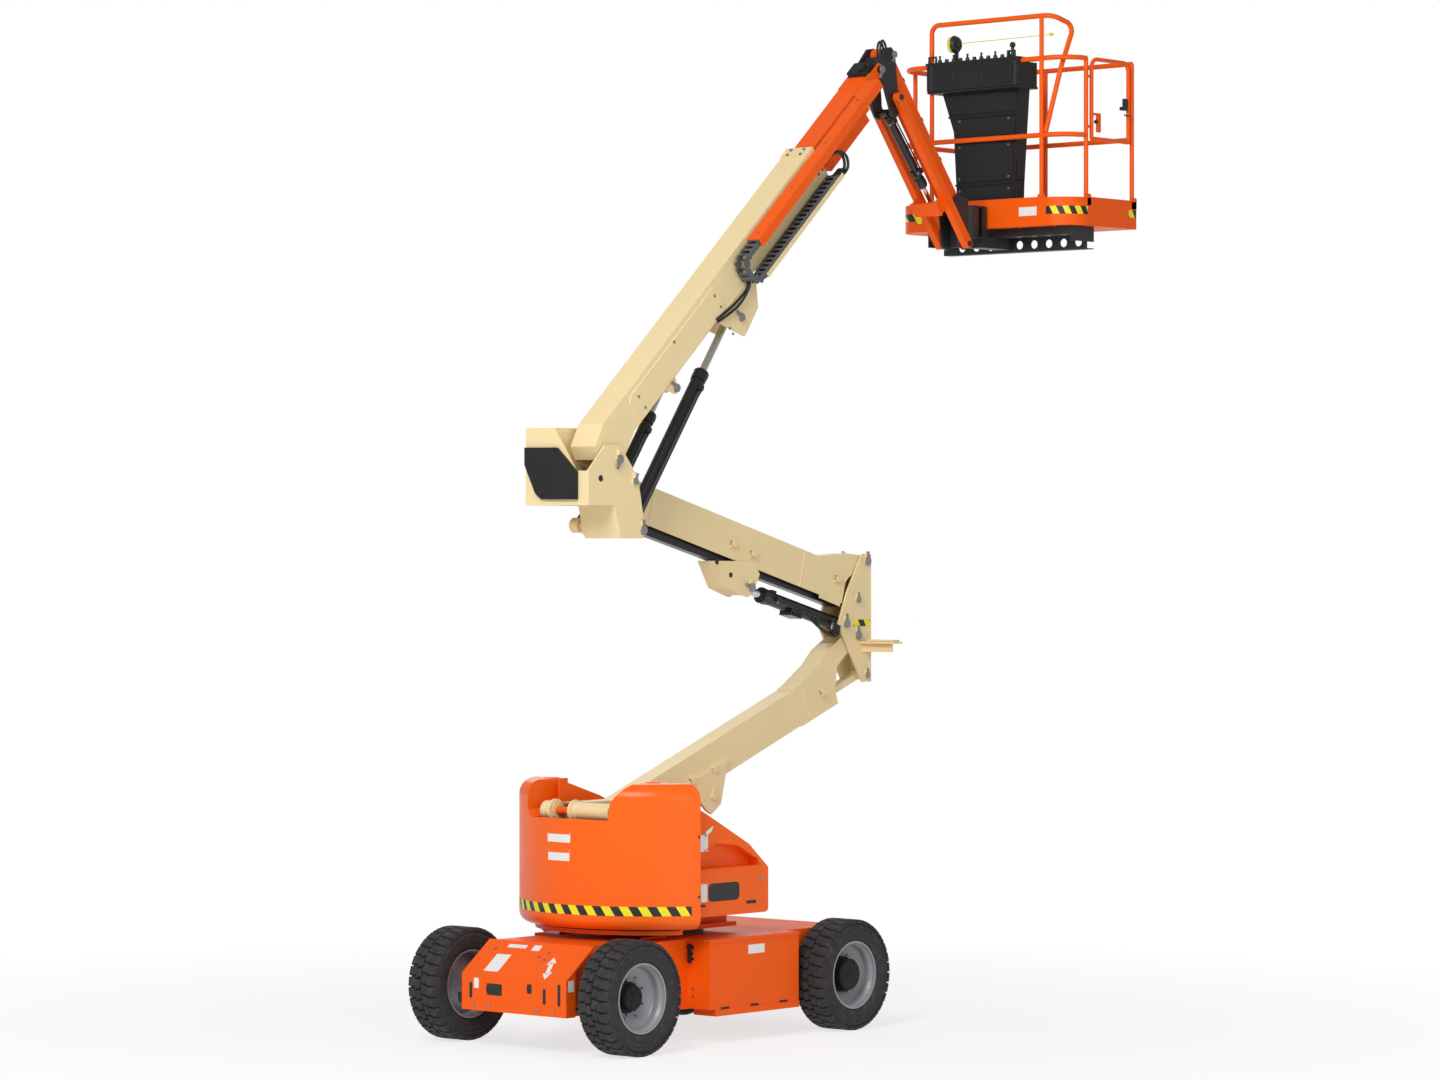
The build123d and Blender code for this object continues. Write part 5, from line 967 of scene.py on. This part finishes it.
class LIFT_OT_boom_trim(bpy.types.Operator):
    """Pads, bolts, pins and bare plates of the telescopic boom"""
    bl_idname = "lift.boom_trim"
    bl_label = "Boom trim"

    def execute(self, context):
        # wear-pad bolts round the mouth of the base section
        bm = bmesh.new()
        for along in (2.715, 2.765):
            for up in (0.070, 0.185):
                for y, out in ((BOOM_NEAR - 0.0062, -1), (BOOM_FAR + 0.0062, 1)):
                    add_bolt(bm, on_boom(along, up, y), (0, out, 0), 0.010)
            for y in (BOOM_MID - 0.055, BOOM_MID + 0.055):
                add_bolt(bm, on_boom(along, 0.2382, y), BOOM_UP, 0.010)
        for along, up in ((0.420, 0.060), (0.420, 0.150), (0.900, 0.185), (1.390, 0.060), (1.390, 0.150)):
            add_bolt(bm, on_boom(along, up, BOOM_NEAR - 0.008), (0, -1, 0), 0.008)
        for along, up in ((1.372, -0.150), (1.372, -0.105)):
            add_bolt(bm, on_boom(along, up, BOOM_NEAR), (0, -1, 0), 0.008)
        finished(bm, "boom_bolts", "main_boom", "zinc_plate")
        bm = bmesh.new()
        for x, y, z in ((1.497, BOOM_NEAR - 0.013, -0.118), (0.722, BOOM_NEAR - 0.013, -0.043)):
            at = on_boom(x, z, y)
            add_pin(bm, at.x, at.y, at.z, 0.028, BOOM_TILT + math.radians(100), -1)
            add_pin(bm, at.x, BOOM_FAR + 0.013, at.z, 0.028, BOOM_TILT + math.radians(80), 1)
        finished(bm, "boom_pin_ends", "main_boom", "zinc_plate", 0.0006)
        # welds of the cylinder lugs and the mouth's collar
        bm = bmesh.new()
        for a, b, u in ((1.300, 1.755, 0.0105), (0.575, 0.765, 0.0105)):
            for y in (BOOM_NEAR + 0.0005, BOOM_FAR - 0.0005):
                add_tube(bm, [on_boom(a, u, y), on_boom(b, u, y)], 0.0035, 8)
        for up0, up1, y in ((0.008, 0.234, BOOM_NEAR - 0.0005), (0.008, 0.234, BOOM_FAR + 0.0005)):
            add_tube(bm, [on_boom(2.694, up0, y), on_boom(2.694, up1, y)], 0.0035, 8)
        finished(bm, "boom_welds", "main_boom", "cream_enamel")
        # wear pads that show at the mouth
        bm = bmesh.new()
        for y0, y1 in ((BOOM_MID - 0.082, BOOM_MID - 0.020), (BOOM_MID + 0.020, BOOM_MID + 0.082)):
            middle = on_boom(2.786, 0.2185, (y0 + y1) / 2)
            add_label(bm, middle, BOOM_WAY, Vector((0, 1, 0)), 0.012, y1 - y0, 0.008)
        finished(bm, "mouth_pads", "main_boom", "black_abs")
        # fly section: bolts along it and orange stop blocks near its head
        bm = bmesh.new()
        for along, up in ((3.300, 0.160), (3.300, 0.090), (3.400, 0.160), (3.400, 0.090)):
            for y, out in ((-0.2202, -1), (-0.0498, 1)):
                add_bolt(bm, on_boom(along, up, y), (0, out, 0), 0.009)
        for along in (1.94, 2.40, 2.86, 3.30):
            add_bolt(bm, on_boom(along, 0.212, -0.300), BOOM_UP, 0.007)
        finished(bm, "fly_bolts", "fly_boom", "zinc_plate")
        bm = bmesh.new()
        for along in (3.46, 3.56):
            add_label(bm, on_boom(along, 0.2125, BOOM_MID), BOOM_WAY, Vector((0, 1, 0)), 0.050, 0.120,
                      0.006, 0.006)
        finished(bm, "fly_stops", "fly_boom", "orange_enamel", 0.001)
        # black cap over the line ends at the head
        bm = bmesh.new()
        add_label(bm, on_boom(3.622, 0.228, BOOM_MID), BOOM_WAY, Vector((0, 1, 0)), 0.120, 0.150, 0.040,
                  0.012)
        add_label(bm, on_boom(3.610, 0.254, BOOM_MID - 0.040), BOOM_WAY, Vector((0, 1, 0)), 0.060, 0.040,
                  0.022, 0.006)
        finished(bm, "fly_head_cap", "fly_boom", "black_abs", 0.004)
        return {"FINISHED"}


class LIFT_OT_carrier(bpy.types.Operator):
    """Cable carrier links and the hoses that leave them"""
    bl_idname = "lift.carrier"
    bl_label = "Cable carrier"

    def link(self, bm, frame_at, pitch, thick):
        """One carrier link: two waisted side plates and the two bars across them."""
        at, way, up = frame_at
        for y in (CHAIN_Y0 + 0.004, CHAIN_Y1 - 0.004):
            plate = at + Vector((0, y, 0))
            add_label(bm, plate, way, up, pitch * 0.99, thick * 0.92, 0.007, thick * 0.20)
            add_disc(bm, plate + way * pitch * 0.5, (0, 1, 0), thick * 0.32, 0.010, 14)
        for level in (-0.40, 0.40):
            bar = at + up * thick * level + Vector((0, (CHAIN_Y0 + CHAIN_Y1) / 2, 0))
            add_label(bm, bar, way, Vector((0, 1, 0)), pitch * 0.42, CHAIN_Y1 - CHAIN_Y0 - 0.004, 0.005,
                      0.003)

    def execute(self, context):
        pitch, thick = sizes().chain_pitch, 0.046
        radius = (CHAIN_HIGH - CHAIN_LOW) / 2
        middle = CHAIN_LOW + radius
        runs = {"base": [], "run": []}
        count = int((CHAIN_TIP - CHAIN_BEND) / pitch)
        for n in range(count):
            along = CHAIN_BEND + pitch * (n + 0.5)
            runs["base"].append((on_boom(along, CHAIN_LOW + thick / 2), BOOM_WAY, BOOM_UP))
            runs["run"].append((on_boom(along, CHAIN_HIGH - thick / 2), BOOM_WAY, BOOM_UP))
        mean = radius - thick / 2
        turns = max(6, round(math.pi * mean / pitch))
        for n in range(turns):
            a = math.pi * (n + 0.5) / turns
            way = (BOOM_WAY * math.cos(a) + BOOM_UP * math.sin(a)).normalized()
            out = (BOOM_UP * math.cos(a) - BOOM_WAY * math.sin(a)).normalized()
            runs["base"].append((on_boom(CHAIN_BEND - math.sin(a) * mean, middle - math.cos(a) * mean),
                                 way, out))
        for part, body, node in (("base", "main_boom", "chain_base"), ("run", "fly_boom", "chain_run")):
            bm = bmesh.new()
            for spot in runs[part]:
                self.link(bm, spot, pitch, thick)
            links = finished(bm, "carrier_links_" + part, body, "chain_nylon", 0.0006)
            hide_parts(node)
            bm = bmesh.new()
            ends = [on_boom(CHAIN_BEND, (CHAIN_LOW if part == "base" else CHAIN_HIGH - thick) + thick / 2),
                    on_boom(CHAIN_TIP - 0.004, (CHAIN_LOW if part == "base" else CHAIN_HIGH - thick)
                            + thick / 2)]
            for y in (-0.322, -0.304, -0.286):
                add_tube(bm, [p + Vector((0, y, 0)) for p in ends], 0.0075, 10)
            finished(bm, "carrier_hoses_" + part, body, "hose_rubber")
        # hoses between the carrier's lower end and the boom, and the pair that loops at its upper end
        r = sizes().hose_radius
        bm = bmesh.new()
        for k in range(3):
            y = -0.286 - 0.018 * k
            hose_run(bm, [on_boom(2.790, -0.005, y), on_boom(2.860, -0.010, y),
                          on_boom(2.880, -0.050, y + 0.02),
                          on_boom(2.800, -0.060, y + 0.04), on_boom(2.650, -0.056, -0.232 - 0.018 * k)], r)
        for k in range(2):
            y = -0.262 - 0.018 * k
            hose_run(bm, [on_boom(1.700, 0.030, y), on_boom(1.640, -0.010, y),
                          on_boom(1.500, -0.012 - 0.02 * k, y + 0.012),
                          on_boom(1.300, 0.030 - 0.02 * k, -0.255)], r)
        finished(bm, "carrier_tail_hoses", "main_boom", "hose_rubber")
        bm = bmesh.new()
        for k in range(2):
            y = -0.330 + 0.030 * k
            hose_run(bm, [on_boom(2.760, 0.012, y), on_boom(2.840, -0.030, y), on_boom(2.905, -0.020, y),
                          on_boom(2.935, 0.040, y), on_boom(2.900, 0.105, y), on_boom(2.830, 0.135, y),
                          on_boom(2.760, 0.150, y + 0.010)], r * 1.15)
        finished(bm, "carrier_hose_loops", "main_boom", "hose_rubber")
        return {"FINISHED"}


class LIFT_OT_jib_trim(bpy.types.Operator):
    """Pins, hoses and bare plates of the jib"""
    bl_idname = "lift.jib_trim"
    bl_label = "Jib trim"

    def execute(self, context):
        # head bracket: pins, and the hose arch that carries the lines over it
        bm = bmesh.new()
        for x, z, radius in ((1.990, 6.240, 0.026), (2.120, 6.350, 0.024), (2.165, 6.068, 0.024)):
            add_pin(bm, x, BOOM_MID - 0.116, z, radius, math.radians(250), -1)
            add_pin(bm, x, BOOM_MID + 0.116, z, radius, math.radians(250), 1)
        finished(bm, "jib_head_pins", "jib_bracket", "zinc_plate", 0.0006)
        r = sizes().hose_radius
        bm = bmesh.new()
        for k in range(2):
            y = BOOM_MID - 0.070 + 0.024 * k
            hose_run(bm, [(2.026, y, 6.330), (2.028, y, 6.395), (2.046, y, 6.438 - 0.008 * k),
                          (2.072, y, 6.426),
                          (2.088, y, 6.385), (2.084, y, 6.335)], r * 0.9)
        finished(bm, "jib_head_hoses", "jib_bracket", "hose_rubber")
        # lines clamped along the upper tube
        run = Vector((0.737, 0.0, -0.937)).normalized()
        out = Vector((0.937, 0.0, 0.737)).normalized()
        top = Vector((2.120, BOOM_MID, 6.350))
        bm = bmesh.new()
        for k in range(2):
            side = Vector((0, -0.018 + 0.036 * k, 0))
            hose_run(bm, [top + run * s + out * 0.056 + side for s in (0.12, 0.35, 0.60, 0.85, 1.04)],
                     r * 0.9)
        finished(bm, "jib_hoses", "jib_upper", "hose_rubber")
        bm = bmesh.new()
        for s in (0.24, 0.56, 0.88):
            add_label(bm, top + run * s + out * 0.058, run, Vector((0, 1, 0)), 0.030, 0.080, 0.020, 0.004)
        finished(bm, "jib_hose_clamps", "jib_upper", "black_abs")
        bm = bmesh.new()
        add_label(bm, Vector((2.165, BOOM_MID, 6.068)) + run * 1.06 + Vector((0, -0.1335, 0)), run, out,
                  0.070, 0.034, 0.0012)
        finished(bm, "jib_label", "jib_lower", "blank_label")
        # rotator: flange bolts
        bm = bmesh.new()
        for n in range(8):
            a = math.tau * n / 8
            add_bolt(bm, (3.045 + 0.068 * math.cos(a), BOOM_MID + 0.068 * math.sin(a), 5.388), (0, 0, 1),
                     0.0075)
        finished(bm, "rotator_bolts", "rotator", "zinc_plate")
        return {"FINISHED"}


# ---------------------------------------------------------------- platform
DECK_X0, DECK_NEAR, DECK_FAR, DECK_Z = 3.200, -0.895, 0.625, 5.262
CONSOLE_NEAR, CONSOLE_FAR = -0.470, 0.310


class LIFT_OT_console(bpy.types.Operator):
    """Control box with its switches, shroud panels and the sling reel"""
    bl_idname = "lift.console"
    bl_label = "Control console"

    def execute(self, context):
        front, lip = DECK_X0 + 0.046, DECK_X0 - 0.026
        mid = (CONSOLE_NEAR + CONSOLE_FAR) / 2
        # box over the rail: sloping lid with a rolled rim, and moulded corner caps
        bm = bmesh.new()
        add_block(bm, (lip, CONSOLE_NEAR - 0.004, 6.214), (front + 0.020, CONSOLE_FAR + 0.004, 6.400))
        add_block(bm, (lip + 0.006, CONSOLE_NEAR - 0.006, 6.198),
                  (front + 0.156, CONSOLE_FAR + 0.006, 6.214))
        add_block(bm, (lip - 0.006, CONSOLE_NEAR - 0.010, 6.390),
                  (front + 0.160, CONSOLE_FAR + 0.010, 6.408))
        for y in (CONSOLE_NEAR + 0.030, CONSOLE_FAR - 0.030):
            add_disc(bm, (lip + 0.020, y, 6.300), (0, 0, 1), 0.025, 0.176, 20)
        for y in (mid - 0.245, mid, mid + 0.245):
            add_label(bm, (lip - 0.001, y, 6.302), (0, -1, 0), (0, 0, 1), 0.190, 0.124, 0.008, 0.014)
        finished(bm, "console_box", "platform", "black_abs", 0.004)
        # knobs, toggles with their guards and the two joysticks
        bm = bmesh.new()
        for n in range(11):
            y = mid - 0.300 + n * 0.060
            add_disc(bm, (lip + 0.030, y, 6.418), (0, 0, 1), 0.017, 0.028, 16, 0.012)
            if n % 2 == 0:
                add_disc(bm, (lip + 0.030, y, 6.444), (0, 0, 1), 0.006, 0.026, 12, 0.0085)
        for y in (mid - 0.250, mid + 0.230):
            add_disc(bm, (front + 0.060, y, 6.420), (0, 0, 1), 0.034, 0.028, 24, 0.020)
            add_disc(bm, (front + 0.060, y, 6.464), (0, 0, 1), 0.010, 0.070, 16, 0.012)
            bmesh.ops.create_uvsphere(bm, u_segments=20, v_segments=12, radius=0.021,
                                      matrix=Matrix.Translation((front + 0.060, y, 6.504)))
        for y in (CONSOLE_NEAR + 0.050, CONSOLE_FAR - 0.050):
            add_tube(bm, [(lip, y - 0.030, 6.400), (lip, y - 0.030, 6.446), (lip, y + 0.030, 6.446),
                          (lip, y + 0.030, 6.400)], 0.009, 10)
        finished(bm, "console_controls", "platform", "black_powder_coat", 0.0006)
        bm = bmesh.new()
        add_disc(bm, (front + 0.060, mid, 6.418), (0, 0, 1), 0.030, 0.020, 28)
        finished(bm, "stop_collar", "platform", "signal_yellow", 0.001)
        # shroud: raised panels, a waist seam and side ribs that step with its outline
        bm = bmesh.new()
        face, seam = front + 0.008, front + 0.007
        for z0, z1, y0, y1 in ((6.050, 6.185, -0.405, 0.180), (5.880, 6.015, -0.390, 0.130),
                               (5.580, 5.845, -0.370, 0.110),
                               (5.300, 5.545, -0.360, 0.095)):
            add_label(bm, (face, (y0 + y1) / 2, (z0 + z1) / 2), (0, -1, 0), (0, 0, 1), y1 - y0, z1 - z0,
                      0.010, 0.018)
        for z, y0, y1 in ((6.032, -0.423, 0.182), (5.862, -0.402, 0.148), (5.562, -0.390, 0.122)):
            add_label(bm, (seam, (y0 + y1) / 2, z), (0, -1, 0), (0, 0, 1), y1 - y0, 0.014, 0.014, 0.004)
        # raised rib on the near side of the shroud
        for z0, z1, y in ((5.300, 5.560, -0.386), (5.580, 5.900, -0.400)):
            add_block(bm, (front + 0.020, y - 0.006, z0), (front + 0.100, y + 0.010, z1))
        finished(bm, "shroud_panels", "platform", "black_abs", 0.003)
        bm = bmesh.new()
        for y in (-0.34, 0.08):
            for z in (5.520, 5.604, 5.820, 6.000):
                add_bolt(bm, (front + 0.002, y, z), (-1, 0, 0), 0.007)
        finished(bm, "shroud_bolts", "platform", "zinc_plate")
        # sling reel on its bracket under the hoop, and the taut line to its stop
        bm = bmesh.new()
        reel = Vector((3.222, 0.105, 6.530))
        add_disc(bm, reel + Vector((0, -0.014, 0)), (0, -1, 0), 0.060, 0.024, 40, 0.050)
        add_disc(bm, reel + Vector((0, -0.028, 0)), (0, -1, 0), 0.022, 0.014, 24)
        finished(bm, "reel_drum", "platform", "black_powder_coat", 0.001)
        bm = bmesh.new()
        add_disc(bm, reel + Vector((0, 0.012, 0)), (0, 1, 0), 0.062, 0.026, 40, 0.056)
        for n in range(6):
            turn = Matrix.Rotation(math.tau * n / 6, 3, "Y")
            add_label(bm, reel + turn @ Vector((0.040, 0.0256, 0)), turn @ Vector((1, 0, 0)),
                      turn @ Vector((0, 0, 1)),
                      0.022, 0.008, 0.003)
        finished(bm, "reel_cover", "platform", "signal_yellow", 0.001)
        bm = bmesh.new()
        add_tube(bm, [reel + Vector((0.004, -0.055, 0.004)), (3.222, -0.300, 6.536),
                      (3.222, -0.722, 6.540)], 0.0026, 8)
        add_disc(bm, (3.222, -0.722, 6.540), (0, 1, 0), 0.010, 0.024, 14)
        finished(bm, "reel_line", "platform", "signal_yellow")
        bm = bmesh.new()
        add_block(bm, (3.236, 0.090, 6.390), (3.242, 0.120, 6.520))
        add_label(bm, (3.239, 0.105, 6.400), (0, -1, 0), (0, 0, 1), 0.070, 0.034, 0.008, 0.004)
        finished(bm, "reel_bracket", "platform", "black_powder_coat", 0.001)
        return {"FINISHED"}


class LIFT_OT_platform_trim(bpy.types.Operator):
    """Tapes, plates, brackets, tread and latch of the platform"""
    bl_idname = "lift.platform_trim"
    bl_label = "Platform trim"

    def execute(self, context):
        toe_mid, face = DECK_Z + 0.090, DECK_NEAR - 0.0006
        # hazard tapes on the toe board
        bm = bmesh.new()
        x0, x1 = 3.872, 3.955
        for y, way in ((face, 1), (DECK_FAR + 0.0006, -1)):
            add_label(bm, ((x0 + x1) / 2, y, toe_mid + 0.004), (way, 0, 0), (0, 0, 1), x1 - x0, 0.050,
                      0.0012)
        add_label(bm, (DECK_X0 - 0.0006, 0.400, toe_mid - 0.018), (0, -1, 0), (0, 0, 1), 0.050, 0.050,
                  0.0012)
        for start, corner_y in ((180.0, DECK_NEAR + 0.200), (90.0, DECK_FAR - 0.200)):
            drum_patch(bm, 0.2004, toe_mid - 0.025, toe_mid + 0.029, start, start + 90.0, 0.0010, 24,
                       (DECK_X0 + 0.200, corner_y))
        finished(bm, "toe_tapes", "platform", "flat_tape")
        bm = bmesh.new()
        add_label(bm, (DECK_X0 - 0.0006, -0.540, toe_mid), (0, -1, 0), (0, 0, 1), 0.150, 0.060, 0.0012)
        finished(bm, "platform_plates", "platform", "blank_label")
        # gussets between the toe board and its posts
        bm = bmesh.new()
        for x, y in ((3.412, DECK_NEAR + 0.004), (3.935, DECK_NEAR + 0.004), (3.412, DECK_FAR - 0.004),
                     (3.935, DECK_FAR - 0.004)):
            add_label(bm, (x, y, DECK_Z + 0.165), (1, 0, 0), (0, 0, 1), 0.060, 0.080, 0.008, 0.010)
        for y in (-0.640, 0.305):
            add_label(bm, (3.219, y, DECK_Z + 0.165), (0, 1, 0), (0, 0, 1), 0.060, 0.080, 0.008, 0.010)
        # rolled rim of the toe board
        add_tube(bm, [(3.398, DECK_NEAR + 0.003, DECK_Z + 0.180),
                      (3.950, DECK_NEAR + 0.003, DECK_Z + 0.180)], 0.005, 10)
        add_tube(bm, [(3.398, DECK_FAR - 0.003, DECK_Z + 0.180),
                      (3.950, DECK_FAR - 0.003, DECK_Z + 0.180)], 0.005, 10)
        add_tube(bm, [(DECK_X0 + 0.003, -0.690, DECK_Z + 0.180), (DECK_X0 + 0.003, 0.420, DECK_Z + 0.180)],
                 0.005, 10)
        finished(bm, "toe_gussets", "platform", "orange_enamel", 0.0015)
        # grip ribs of the floor tread
        bm = bmesh.new()
        for n in range(15):
            x = 3.410 + n * 0.034
            for k in range(26):
                y = -0.780 + k * 0.053 + (0.0265 if n % 2 else 0.0)
                turn = math.radians(45 if (n + k) % 2 else -45)
                add_label(bm, (x, y, DECK_Z + 0.0040), (math.cos(turn), math.sin(turn), 0),
                          (-math.sin(turn), math.cos(turn), 0), 0.024, 0.005, 0.0022)
        finished(bm, "floor_grip", "platform", "zinc_plate")
        # gate latch and its keeper
        bm = bmesh.new()
        add_block(bm, (3.812, -0.888, 6.060), (3.872, -0.860, 6.084))
        add_label(bm, (3.842, -0.886, 6.110), (1, 0, 0), (0, 0, 1), 0.060, 0.060, 0.006, 0.012)
        add_tube(bm, [(3.822, -0.893, 6.030), (3.822, -0.908, 6.020), (3.862, -0.908, 6.020),
                      (3.862, -0.893, 6.030)], 0.005, 10)
        finished(bm, "gate_latch", "gate", "black_powder_coat", 0.001)
        # hinge bracket of the gate with its rubber stop
        bm = bmesh.new()
        add_label(bm, (3.545, -0.878, 5.955), (1, 0, 0), (0, 0, 1), 0.050, 0.130, 0.008, 0.008)
        add_label(bm, (3.520, -0.878, 6.012), (1, 0, 0), (0, 0, 1), 0.090, 0.016, 0.012, 0.004)
        finished(bm, "gate_bracket", "gate", "orange_enamel", 0.001)
        bm = bmesh.new()
        add_disc(bm, (3.510, -0.884, 5.960), (0, -1, 0), 0.013, 0.016, 20)
        finished(bm, "gate_stop", "gate", "hose_rubber", 0.001)
        # foot bolts under the floor
        bm = bmesh.new()
        for x in (3.300, 3.480):
            for y in (-0.70, -0.40, -0.135, 0.13, 0.40):
                add_bolt(bm, (x, y, DECK_Z - 0.006), (0, 0, -1), 0.009)
        finished(bm, "floor_bolts", "platform", "zinc_plate")
        return {"FINISHED"}


# ---------------------------------------------------------------- panel and registration
class LIFT_PT_panel(bpy.types.Panel):
    """Lists the makers in the order they run"""
    bl_idname = "LIFT_PT_panel"
    bl_label = "Boom lift"
    bl_space_type = "VIEW_3D"
    bl_region_type = "UI"
    bl_category = "Boom lift"

    def draw(self, context):
        for group in (context.scene.lift_sizes, context.scene.lift_colours):
            for key in group.bl_rna.properties.keys():
                if key not in ("rna_type", "name"):
                    self.layout.prop(group, key)
        for maker in MAKERS:
            self.layout.operator(maker.bl_idname)


MAKERS = (LIFT_OT_paintwork, LIFT_OT_tyres, LIFT_OT_hubs, LIFT_OT_tail_trim, LIFT_OT_hood_trim,
          LIFT_OT_chassis_trim, LIFT_OT_cylinders, LIFT_OT_tower_trim, LIFT_OT_tower_hoses,
          LIFT_OT_boom_trim,
          LIFT_OT_carrier, LIFT_OT_jib_trim, LIFT_OT_console, LIFT_OT_platform_trim, LIFT_OT_stage)
CLASSES = (LiftSizes, LiftColours, *MAKERS, LIFT_PT_panel)


def register():
    for cls in CLASSES:
        bpy.utils.register_class(cls)
    bpy.types.Scene.lift_sizes = bpy.props.PointerProperty(type=LiftSizes)
    bpy.types.Scene.lift_colours = bpy.props.PointerProperty(type=LiftColours)


def unregister():
    del bpy.types.Scene.lift_colours
    del bpy.types.Scene.lift_sizes
    for cls in reversed(CLASSES):
        bpy.utils.unregister_class(cls)


def main():
    register()
    for maker in MAKERS:
        group, operator = maker.bl_idname.split(".")
        getattr(getattr(bpy.ops, group), operator)()


if __name__ == "__main__":
    main()
